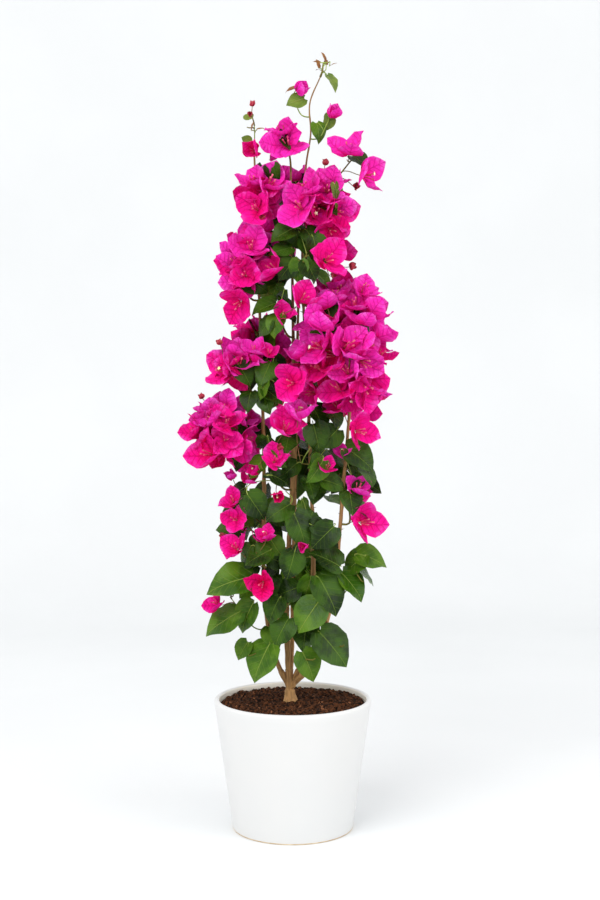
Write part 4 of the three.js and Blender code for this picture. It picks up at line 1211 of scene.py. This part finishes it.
def lathe_mesh(name, profile, segments, materials):
    """A turned shape from its profile, which starts and ends on the axis. Each point is a
    radius, a height and the number of the material of the stretch that leads to it."""
    vertices, rows = [], []
    for radius, height, _ in profile:
        first = len(vertices)
        if radius < 1e-9:
            rows.append([first] * segments)
            vertices.append((0, 0, height))
        else:
            rows.append([first + i for i in range(segments)])
            vertices += [(radius * x, radius * y, height) for x, y in circle(segments)]
    faces, finish = [], []
    for lower, upper, (_, _, band) in zip(rows, rows[1:], profile[1:]):
        for i in range(segments):
            k = (i + 1) % segments
            faces.append(list(dict.fromkeys([lower[i], lower[k], upper[k], upper[i]])))
            finish.append(band)
    mesh = mesh_of(name, vertices, faces)
    for material in materials:
        mesh.materials.append(material)
    mesh.polygons.foreach_set("material_index", finish)
    return mesh


# ---- Settings ----


def colour_setting(name, description, *tint):
    return FloatVectorProperty(name=name, description=description, subtype="COLOR", size=4,
                               min=0.0, max=1.0, default=srgb(*tint))


def share_setting(name, description, lowest=0.6, highest=1.3):
    return FloatProperty(name=name, description=description + ", as a share of the plant's own",
                         default=1.0, min=lowest, max=highest, subtype="FACTOR")


class CrownSettings(bpy.types.PropertyGroup):
    """Sizes and colours of what grows in the crown."""

    bract_size: share_setting("Bract Size", "Size of the bracts")
    leaf_size: share_setting("Leaf Size", "Size of the leaves")
    twig_thickness: share_setting("Twig Thickness", "Thickness of twigs and stalks", 0.5, 2.0)
    bract_rim: colour_setting("Bract Rim", "Colour of the bracts at their lit rims", 254, 122, 232)
    bract_body: colour_setting("Bract Body", "Main colour of the bracts", 254, 26, 168)
    # The foot's colour is painted shade, in the heart of the bloom.
    bract_foot_shade: colour_setting("Bract Foot", "Colour of the bracts at the foot", 244, 9, 118)
    bud: colour_setting("Bud", "Colour of young bracts", 224, 84, 104)
    leaf_dark: colour_setting("Dark Leaf", "Colour of old leaves", 21, 44, 2)
    leaf_light: colour_setting("Light Leaf", "Colour of leaves in full growth", 84, 120, 20)
    leaf_young: colour_setting("Young Leaf", "Colour of the newest leaves", 122, 140, 52)


class PotSettings(bpy.types.PropertyGroup):
    """The pot and what fills it."""

    wall: FloatProperty(
        name="Wall", description="Thickness of the pot's wall", default=8.3 * MM,
        min=0.004, max=0.02, unit="LENGTH")
    foot_radius: FloatProperty(
        name="Foot Radius", description="Radius of the pot at its foot", default=96 * MM,
        min=0.05, max=0.12, unit="LENGTH")
    segments: IntProperty(
        name="Segments", description="Sides of the turned pot", default=160, min=48, max=360)
    glaze: colour_setting("Glaze", "Colour of the white glaze", 211, 211, 210)
    crumb_density: FloatProperty(
        name="Crumb Density", description="Peat crumbs on a square metre of the soil",
        default=62000.0, min=1000.0, max=200000.0)
    peat: colour_setting("Peat", "Colour of the peat", 92, 54, 30)


class StageSettings(bpy.types.PropertyGroup):
    """The studio round the plant."""

    distance: FloatProperty(
        name="Camera Distance", description="How far the camera stands from the plant",
        default=2.2, min=1.0, max=6.0, unit="LENGTH")
    key_power: FloatProperty(
        name="Key Light", description="Power of the large soft light", default=73.0,
        min=0.0, max=500.0, unit="POWER")
    fill: FloatProperty(
        name="Fill Light", description="Strength of the light from all round", default=1.08,
        min=0.0, max=3.0)


# ---- Operators ----


def box_of(name):
    """A node's lowest and highest corners, in metres."""
    low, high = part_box(name)
    return np.array(low), np.array(high)


def pot_profile(foot, rim, height, wall):
    """The pot's outline, from the middle of its underside round the lip to the middle of its
    floor: radii, heights and the finish (0 outside, 1 inside, 2 the beige foot) that leads to each."""
    lip, floor, hollow, edge = wall / 2, 9 * MM, 0.6 * MM, 2 * MM
    profile = [(0, hollow, 2), (foot - 9 * MM, hollow, 2), (foot - 7 * MM, 0, 2), (foot - edge, 0, 2)]
    for step in range(1, 5):
        angle = math.pi / 2 * step / 4
        profile.append((foot - edge * (1 - math.sin(angle)), edge * (1 - math.cos(angle)), 2))
    for share in np.linspace(0, 1, 24)[1:-1]:
        profile.append((mix(foot, rim, share), mix(edge, height - lip, share), 0))
    for step in range(17):
        angle = math.pi * step / 16
        profile.append((rim - lip + lip * math.cos(angle), height - lip + lip * math.sin(angle),
                        0 if step < 13 else 1))
    for share in np.linspace(1, 0, 9)[1:]:
        level = mix(floor, height - lip, share)
        profile.append((mix(foot, rim, level / height) - wall, level, 1))
    return [*profile, (0, floor, 1)]


class PLANT_OT_pot(bpy.types.Operator):
    """Turns the glazed pot"""

    bl_idname = "plant.pot"
    bl_label = "Pot"

    def execute(self, context):
        settings = context.scene.plant_pot
        rim, _, height = box_of("pot")[1]
        profile = pot_profile(settings.foot_radius, rim, height, settings.wall)
        mesh = lathe_mesh("pot_shell", profile, settings.segments, [
            glaze_material("White Glaze", tuple(settings.glaze), srgb(208, 209, 209)),
            glaze_material("Cream Glaze", srgb(234, 230, 218), srgb(224, 217, 202)),
            # A beige band on the underside and round the foot's edge, where the pot meets the floor.
            mottled("Beige Foot", srgb(196, 168, 128), srgb(224, 204, 172), 0.85, 0.3 * MM, 60, 1500)])
        finished(piece_object("pot_shell", mesh), "pot", "pot")
        return {"FINISHED"}


def peat_surface(radius, level):
    """A function that gives the height of the peat at a place."""
    def height(x, y):
        distance = math.hypot(x, y)
        mound = 3 * MM * (1 - min(1, distance / radius) ** 2)
        place = Vector((x, y, 0))
        heave = 2.2 * MM * noise.noise(place * 38) + 1.5 * MM * noise.noise(place * 110)
        lumps = 1.4 * MM * noise.noise(place * 260) + 0.9 * MM * noise.noise(place * 520)
        return level + mound + (heave + lumps) * min(1, (radius - distance) / (4 * MM) + 0.4)
    return height


def peat_mesh(radius, level, material, rings=44, sectors=200):
    """The peat: its lumpy top, its side, and a flat bottom inside the pot."""
    height = peat_surface(radius, level)
    vertices = [(0, 0, height(0, 0))]
    for ring in range(1, rings + 1):
        for x, y in circle(sectors):
            x, y = radius * ring / rings * x, radius * ring / rings * y
            vertices.append((x, y, height(x, y)))
    bottom = len(vertices)
    vertices += [(x * 0.99, y * 0.99, level - 12 * MM) for x, y, _ in vertices[-sectors:]]
    faces = []
    for i in range(sectors):
        k = (i + 1) % sectors
        faces.append((0, 1 + i, 1 + k))
        for ring in range(rings):
            a, b = 1 + ring * sectors + i, 1 + ring * sectors + k
            faces.append((a, a + sectors, b + sectors, b))
    faces.append([bottom + i for i in range(sectors)][::-1])
    return mesh_of("peat", vertices, faces, material)


class PLANT_OT_soil(bpy.types.Operator):
    """Fills the pot with peat, crumbs and flecks of bark"""

    bl_idname = "plant.soil"
    bl_label = "Soil"

    def execute(self, context):
        settings = context.scene.plant_pot
        high = box_of("soil")[1]
        radius, level = high[0] + 0.2 * MM, high[2] - 4 * MM
        peat = mottled("Peat", srgb(18, 9, 5), tuple(settings.peat), 0.95, 2.5 * MM, 210, 700, 0.8)
        fleck = mottled("Bark Flecks", srgb(84, 44, 26), srgb(160, 108, 74), 0.9, 1 * MM, 90, 900)
        mesh = peat_mesh(radius, level, peat)
        bed = mesh.copy()
        finished(piece_object("peat", mesh), "soil", "soil")
        crumbs = [lump_mesh(f"crumb_{i}", i, 0.5) for i in range(5)]
        flakes = [lump_mesh(f"flake_{i}", 9 + i, 0.4, flat=0.35) for i in range(4)]
        for name, lumps, share, smallest, largest, seed, material in (
                ("peat_crumbs", crumbs, 1.0, 1.0 * MM, 5.0 * MM, 3, peat),
                ("peat_flecks", flakes, 0.12, 0.9 * MM, 4.0 * MM, 8, fleck)):
            top = top_of(bed, name, level - 3 * MM, radius - 3 * MM)
            finished(grown_by(crumb_tree(), name, top, lumps, Density=share * settings.crumb_density,
                              Smallest=smallest, Largest=largest, Seed=seed, Material=material), "soil")
        return {"FINISHED"}


def top_of(mesh, name, lowest, radius):
    """The faces of a mesh that lie over a height and inside a radius."""
    points = [tuple(vertex.co) for vertex in mesh.vertices]
    faces = [tuple(face.vertices) for face in mesh.polygons
             if face.center.z > lowest and math.hypot(face.center.x, face.center.y) < radius
             and len(face.vertices) < 5]
    top = bpy.data.meshes.new(name)
    top.from_pydata(points, [], faces)
    return top


def lump_mesh(name, seed, rough, flat=0.75):
    """An irregular lump of unit radius with a few faces."""
    form = bmesh.new()
    bmesh.ops.create_icosphere(form, subdivisions=1, radius=1.0)
    for vertex in form.verts:
        vertex.co *= 1 + rough * noise.noise(vertex.co * 1.7 + Vector((seed, 0, 0)))
        vertex.co.z *= flat
    mesh = bpy.data.meshes.new(name)
    form.to_mesh(mesh)
    form.free()
    return mesh


def bark_tube(path, radii, seed, sides=20, step=2.6 * MM):
    """A limb with its bark, as vertices and faces: ridges along it, knots, and a slight waver."""
    course, sizes, _, normals, binormals = frames_along(path, radii, step)
    random = random_stream(seed)
    length = len(course) * step
    knots = [(random(0.02, 0.98), random(0, 2 * math.pi), random(0.5, 1.0))
             for _ in range(round(length / KNOT_SPACING))]
    vertices = []
    for i, (centre, size) in enumerate(zip(course, sizes)):
        share = i / (len(course) - 1)
        for side in range(sides):
            angle = 2 * math.pi * side / sides
            out = turned(normals[i], binormals[i], angle)
            here = Vector((centre + out * size).tolist())
            ridge = noise.noise(Vector((here.x * 420, here.y * 420, here.z * 46)))
            lumps = noise.noise(here * 60)
            bulge = 0
            for at, turn, strength in knots:
                off = (share - at) * length / KNOT_LENGTH
                if abs(off) < 3:
                    facing = 0.5 + 0.5 * math.cos(angle - turn)
                    bulge += 0.26 * strength * math.exp(-off * off) * facing**2
            vertices.append(centre + out * size * (1 + 0.11 * ridge + 0.10 * lumps + bulge))
    return vertices, tube_faces(len(course), sides)


@functools.cache
def bark():
    """The one bark of trunk and limbs, tan low down and olive-brown above."""
    return bark_material("Bark", srgb(188, 142, 88), srgb(136, 106, 62), srgb(84, 54, 30), 0.7)


def bark_piece(name, *parts):
    """One piece of bark from its tubes."""
    vertices, faces = [], []
    for points, sides in parts:
        faces += [[len(vertices) + i for i in face] for face in sides]
        vertices += points
    return piece_object(name, mesh_of(name, vertices, faces, bark()))


class PLANT_OT_trunk(bpy.types.Operator):
    """Grows the short trunk and the arms that the stems go on from"""

    bl_idname = "plant.trunk"
    bl_label = "Trunk"

    def execute(self, context):
        fork = np.array([TRUNK_X, 0, box_of("soil")[1][2] + FORK_RISE])
        foot = np.array([TRUNK_X + TRUNK_LEAN, 0, box_of("trunk")[0][2] - 6 * MM])
        flare = TRUNK_FLARE * 0.95
        shares, radii = np.array([
            (0, flare), (0.25, 0.9 * flare), (0.45, 1.15 * TRUNK_RADIUS), (0.7, TRUNK_RADIUS),
            (1.0, 0.98 * TRUNK_RADIUS), (1.25, 0.6 * TRUNK_RADIUS)]).T
        path = foot + shares[:, None] * (fork - foot)
        parts = [bark_tube(path, radii, 11, sides=32, step=1.5 * MM)]
        for i, name in enumerate([*STEMS, "low_shoot"]):
            course, sizes = limb(name)
            onward = unit(course[1] - course[0])
            reach = np.linalg.norm(course[0] - fork)
            arm = bezier((fork, fork + 0.3 * reach * UP, course[0] - 0.4 * reach * onward,
                          course[0] + onward * 0.6 * MM), 10)
            thick = np.linspace(min(1.15 * sizes[0], 0.8 * TRUNK_RADIUS), sizes[0], len(arm))
            parts.append(bark_tube(arm, thick, 31 + i))
        finished(bark_piece("trunk_bark", *parts), "bark", "trunk")
        return {"FINISHED"}


class PLANT_OT_limbs(bpy.types.Operator):
    """Grows the stems, the leader and the low shoot, with the relief of their bark"""

    bl_idname = "plant.limbs"
    bl_label = "Stems"

    def execute(self, context):
        for i, name in enumerate(LIMBS):
            path, radii = limb(name)
            if name != "leader":
                path = np.vstack([path[0] - unit(path[1] - path[0]) * GAP, path])
                radii = np.concatenate([radii[:1], radii])
            sides = 12 if radii.max() < 3 * MM else 20
            piece = bark_piece(f"{name}_bark", bark_tube(path, radii * BARK_SHARE, 60 + i, sides))
            finished(piece, "bark", name)
        return {"FINISHED"}


def tapered(path, thick, thin, step=5 * MM):
    """A path with radii that taper along it, in millimetres, smoothed to even steps."""
    course, share = resampled(path, np.linspace(0, 1, len(path)), step)
    return course, mix(thick * MM, thin * MM, share)


class PLANT_OT_twigs(bpy.types.Operator):
    """Grows the sprays' stems, their side twigs, the stalks and the thorns"""

    bl_idname = "plant.twigs"
    bl_label = "Twigs and Stalks"

    def execute(self, context):
        thick = context.scene.plant_crown.twig_thickness
        woody, stalks, petioles = [], [], []
        for spray, grown in zip(sprays(), crown()):
            if spray.slight:
                petioles.append(tapered(spray.stem, 1.25, 0.8))
            else:
                woody.append(tapered(spray.stem, 2.0, 1.2))
            woody += [tapered(path, 1.3, 0.75) for path in grown.twigs]
            stalks += [tapered(bloom.stalk, 0.75, 0.6) for bloom in grown.blooms]
            petioles += [tapered(leaf.stalk, 0.85, 0.75) for leaf in grown.leaves]
        wood = mottled("Twig Bark", srgb(88, 80, 32), srgb(124, 116, 52), 0.6, 0.3 * MM, 80, 900)
        green = mottled("Leaf Stalk", srgb(116, 140, 52), srgb(154, 170, 84), 0.5, 0.2 * MM, 60)
        red = mottled("Bloom Stalk", srgb(104, 92, 46), srgb(140, 96, 66), 0.55, 0.2 * MM, 60)
        finished(tubes("twigs", woody, wood, thick), "bark")
        finished(tubes("leaf_stalks", petioles, green, thick, 5), "foliage")
        finished(tubes("bloom_stalks", stalks, red, thick, 5), "bark")
        finished(dealt("thorns", thorn_places(), [thorn_mesh()], wood), "bark")
        return {"FINISHED"}


def thorn_places():
    """Where the thorns stand on the stems."""
    random = random_stream(SEED)
    places = []
    for name in STEMS:
        course, sizes, tangents, normals, binormals = frames_along(*limb(name), THORN_SPACING)
        for i in range(2, len(course) - 1):
            out = turned(normals[i], binormals[i], random(0, 2 * math.pi))
            along = unit(out + 0.35 * tangents[i])
            places.append(place_of(course[i] + out * sizes[i] * 0.85, along,
                                   square_to(tangents[i], along), random(4 * MM, 8 * MM)))
    return places


def thorn_mesh():
    """A thorn of unit length, curved a little."""
    rings, sides = 4, 6
    vertices = []
    for ring in range(rings):
        share = ring / rings
        size = 0.13 * (1 - share) ** 1.2
        vertices += [(size * x, size * y - 0.1 * share**2, share) for x, y in circle(sides)]
    vertices.append((0, -0.1, 1))
    faces = tube_faces(rings, sides)
    last = (rings - 1) * sides
    faces += [(last + side, last + (side + 1) % sides, rings * sides) for side in range(sides)]
    faces.pop(1)                 # the last ring is closed by the tip
    return mesh_of("thorn", vertices, faces)


def leaf_tint(leaf):
    """The piece that a leaf belongs to, by its age and its length."""
    if leaf.length < YOUNGEST_LEAF and leaf.age > BRONZE_AGE:
        return "leaves_bronze"
    if leaf.age > YOUNG_AGE:
        return "leaves_young"
    return "leaves_light" if leaf.age > LIGHT_AGE else "leaves_dark"


class PLANT_OT_leaves(bpy.types.Operator):
    """Sets the leaves on their stalks, each tint in its own piece"""

    bl_idname = "plant.leaves"
    bl_label = "Leaves"

    def execute(self, context):
        settings = context.scene.plant_crown
        broad, slim = [
            [blade_mesh(f"{name}_{i}", leaf_width, leaf_surface(i, *form, breadth), thickness)
             for i, form in enumerate(LEAF_FORMS)]
            for name, breadth, thickness in (("leaf", 1.0, 0.016), ("young_leaf", 0.55, 0.02))]
        dark, light, young = [tuple(colour) for colour in (
            settings.leaf_dark, settings.leaf_light, settings.leaf_young)]
        tints = {
            "leaves_dark": ("Dark Leaf", dark, srgb(54, 88, 8), srgb(118, 146, 56)),
            "leaves_light": ("Light Leaf", srgb(48, 86, 8), light, srgb(150, 172, 74)),
            "leaves_young": ("Young Leaf", srgb(84, 110, 38), young, srgb(176, 180, 104)),
            "leaves_bronze": ("Bronze Leaf", srgb(122, 66, 36), srgb(164, 116, 62), srgb(196, 160, 110)),
        }
        places = {name: [] for name in tints}
        leaves = [leaf for grown in crown() for leaf in grown.leaves]
        for count, leaf in enumerate(leaves, 1):
            places[leaf_tint(leaf)].append(
                place_of(leaf.base, leaf.along, leaf.face, leaf.length, count % len(LEAF_FORMS)))
        tints = {name: (leaf_material(*tint), slim if name == "leaves_bronze" else broad)
                 for name, tint in tints.items()}
        leafy = [spray.name for spray in sprays() if spray.leaves >= spray.blooms]
        deal_tints(tints, places, "foliage", settings.leaf_size, leaves_dark=leafy)
        return {"FINISHED"}


def bract_place(bloom, third, shape, opening, twist):
    """Where one of a bloom's three bracts goes, turned a little so that it laps the next."""
    out = turned(bloom.face, bloom.side, third)
    along = turned(bloom.along, out, opening)
    face = turned(out, -bloom.along, opening)
    face = turned(face, np.cross(face, along), twist)
    return place_of(bloom.base + out * bloom.length * 0.04, along, face, bloom.length, shape)


def bloom_tint(bloom):
    """The piece that a bloom's bracts belong to, by its length and its painted light."""
    if bloom.length < YOUNGEST_BRACT:
        return "bud_bracts"
    if bloom.bright < PAINTED_SHADE_TONE:
        return "bracts_deep"
    return "bracts_bright" if bloom.bright > PAINTED_LIT_TONE else "bracts_magenta"


def all_blooms():
    return [bloom for grown in crown() for bloom in grown.blooms]


class PLANT_OT_blooms(bpy.types.Operator):
    """Sets three bracts on each bloom, each tint in its own piece"""

    bl_idname = "plant.blooms"
    bl_label = "Bracts"

    def execute(self, context):
        settings = context.scene.plant_crown
        shapes = [blade_mesh(f"bract_{i}", bract_width, bract_surface(i, *form), 0.012, rows=7)
                  for i, form in enumerate(BRACT_FORMS)]
        foot_shade, body, rim, bud = [tuple(colour) for colour in (
            settings.bract_foot_shade, settings.bract_body, settings.bract_rim, settings.bud)]
        # Lit and shaded copies of one bract finish: the painted-lit tint paints light on blooms, the
        # painted-shade tint paints shade, and the magenta and bud tints are plain; each paints shade at the
        # foot and a highlight at the rim.
        tints = {
            "bracts_bright": ("Bright Bract", srgb(251, 16, 154), srgb(254, 54, 202), rim),
            "bracts_magenta": ("Magenta Bract", foot_shade, body, srgb(253, 104, 226)),
            "bracts_deep": ("Deep Bract", srgb(240, 4, 92), srgb(249, 14, 134), srgb(253, 62, 180)),
            "bud_bracts": ("Bud Bract", srgb(180, 54, 74), bud, srgb(238, 140, 140)),
        }
        places = {name: [] for name in tints}
        random = random_stream(SEED + 5)
        count = 0
        for bloom in all_blooms():
            for third in THIRDS:
                count += 1
                opening, twist = bloom.opening * random(0.8, 1.2), 0.25 + random(-0.15, 0.15)
                places[bloom_tint(bloom)].append(
                    bract_place(bloom, third, count % len(shapes), opening, twist))
        tints = {name: (bract_material(*tint), shapes) for name, tint in tints.items()}
        flowering = [spray.name for spray in sprays() if spray.leaves < spray.blooms]
        deal_tints(tints, places, "bracts", settings.bract_size, bracts_magenta=flowering)
        return {"FINISHED"}


def flower_tube_mesh():
    """A flower's slender tube, of unit length, a little waisted and flared at its mouth."""
    profile = [(0.03, 0), (0.055, 0.15), (0.045, 0.45), (0.04, 0.75), (0.07, 0.97), (0.02, 0.99)]
    sides = 7
    vertices = [(size * x, size * y, at) for size, at in profile for x, y in circle(sides)]
    return mesh_of("flower_tube", vertices, tube_faces(len(profile), sides))


def flower_star_mesh():
    """The star at a flower's mouth: five notched lobes, a little dished."""
    points, lift = 10, 0.05
    vertices = [(0, 0, 0.02), (0, 0, -0.03)]
    for height in (lift + 0.012, lift - 0.012):
        for i, (x, y) in enumerate(circle(points)):
            size = 0.17 if i % 2 == 0 else 0.09
            vertices.append((size * x, size * y, height))
    faces = []
    for i in range(points):
        a, b = 2 + i, 2 + (i + 1) % points
        faces += [(0, a, b), (1, b + points, a + points), (a, a + points, b + points, b)]
    return mesh_of("flower_star", vertices, faces)


class PLANT_OT_flowers(bpy.types.Operator):
    """Sets the small cream flowers in the blooms"""

    bl_idname = "plant.flowers"
    bl_label = "Flowers"

    def execute(self, context):
        tube = mottled("Flower Tube", srgb(190, 44, 96), srgb(220, 110, 130), 0.5, 0.2 * MM, 200)
        star = mottled("Flower Star", srgb(240, 226, 160), srgb(250, 246, 220), 0.5, 0.2 * MM, 260)
        random = random_stream(SEED + 7)
        stems, stars = [], []
        for bloom in all_blooms():
            for third in THIRDS:
                out = turned(bloom.face, bloom.side, third + random(-0.3, 0.3))
                lean, size, opened = random(0.1, 0.28), random(0.42, 0.56), random(0, 1)
                along = turned(bloom.along, out, lean)
                base, face = bloom.base + out * bloom.length * 0.03, square_to(out, along)
                length = size * bloom.length
                stems.append(place_of(base, along, face, length))
                if opened < FLOWERS_OPEN:
                    stars.append(place_of(base + along * length, along, face, 0.5 * bloom.length))
        finished(dealt("flower_tubes", stems, [flower_tube_mesh()], tube), "bracts")
        finished(dealt("flower_stars", stars, [flower_star_mesh()], star), "bracts")
        return {"FINISHED"}


def clear_from_behind(material):
    """Lets a view from behind a wall look through it."""
    tree = material.node_tree
    behind = node(tree, "ShaderNodeNewGeometry", {}).outputs["Backfacing"]
    mix_shaders(tree, behind, node(tree, "ShaderNodeBsdfTransparent", {}))


def paper_mesh(material):
    """The studio's paper: a floor that bends up into a back wall."""
    width, front, back, rise, bend = 5.8, -2.9, 3.0, 5.0, 1.2
    line = [(front, 0.0)]
    for step in range(13):
        angle = math.pi / 2 * step / 12
        line.append((back - bend + bend * math.sin(angle), bend - bend * math.cos(angle)))
    line.append((back, rise))
    vertices = [(x, y, z) for x in (-width / 2, width / 2) for y, z in line]
    count = len(line)
    faces = [(i, count + i, count + i + 1, i + 1) for i in range(count - 1)]
    return mesh_of("backdrop", vertices, faces, material)


class PLANT_OT_stage(bpy.types.Operator):
    """Sets the pale studio: floor, light and camera"""

    bl_idname = "plant.stage"
    bl_label = "Studio"

    def execute(self, context):
        scene, settings = context.scene, context.scene.plant_stage
        paper = mottled("Studio Paper", srgb(222, 224, 225), srgb(224, 226, 227), 0.9, 0.1 * MM, 2, 60)
        clear_from_behind(paper)
        piece_object("backdrop", paper_mesh(paper))
        camera = piece_object("camera", bpy.data.cameras.new("camera"))
        camera.data.lens = LENS
        camera.data.sensor_width = SENSOR_WIDTH
        camera.location = (CAMERA_X, -settings.distance, CAMERA_HEIGHT)
        camera.rotation_euler = (math.radians(90 - CAMERA_DIP), 0, 0)
        scene.camera = camera
        for name, place, size, power in (
                ("key", (-1.6, -2.4, 2.6), 2.4, settings.key_power),
                ("side", (2.4, -1.4, 1.6), 2.0, 0.4 * settings.key_power)):
            light = piece_object(name, bpy.data.lights.new(name, "AREA"))
            light.data.energy = power
            light.data.size = size
            light.location = place
            aim = Vector((0, 0, AIM_HEIGHT)) - light.location
            light.rotation_euler = aim.to_track_quat("-Z", "Y").to_euler()
        scene.world = bpy.data.worlds.new("studio")
        scene.world.use_nodes = True
        tree = scene.world.node_tree
        feed(tree, tree.nodes["Background"], {"Color": (1, 1, 1, 1), "Strength": settings.fill})
        scene.view_settings.view_transform = "Standard"
        return {"FINISHED"}


class PLANT_PT_panel(bpy.types.Panel):
    """Lists the steps that grow the plant"""

    bl_label = "Bougainvillea"
    bl_idname = "PLANT_PT_panel"
    bl_space_type = "VIEW_3D"
    bl_region_type = "UI"
    bl_category = "Plant"

    def draw(self, context):
        for step in STEPS:
            self.layout.operator(step.bl_idname)
        for label in SETTINGS:
            box = self.layout.box()
            settings = getattr(context.scene, label)
            for key in settings.bl_rna.properties.keys():
                if key not in ("rna_type", "name"):
                    box.prop(settings, key)


STEPS = (PLANT_OT_stage, PLANT_OT_pot, PLANT_OT_soil, PLANT_OT_trunk, PLANT_OT_limbs, PLANT_OT_twigs,
         PLANT_OT_leaves, PLANT_OT_blooms, PLANT_OT_flowers)
SETTINGS = {"plant_crown": CrownSettings, "plant_pot": PotSettings, "plant_stage": StageSettings}
CLASSES = (*SETTINGS.values(), *STEPS, PLANT_PT_panel)


def register():
    for item in CLASSES:
        bpy.utils.register_class(item)
    for label, settings in SETTINGS.items():
        setattr(bpy.types.Scene, label, PointerProperty(type=settings))


def unregister():
    for label in SETTINGS:
        delattr(bpy.types.Scene, label)
    for item in reversed(CLASSES):
        bpy.utils.unregister_class(item)


def main():
    register()
    bpy.ops.plant.stage()
    bpy.ops.plant.pot()
    bpy.ops.plant.soil()
    bpy.ops.plant.trunk()
    bpy.ops.plant.limbs()
    bpy.ops.plant.twigs()
    bpy.ops.plant.leaves()
    bpy.ops.plant.blooms()
    bpy.ops.plant.flowers()


if __name__ == "__main__":
    main()
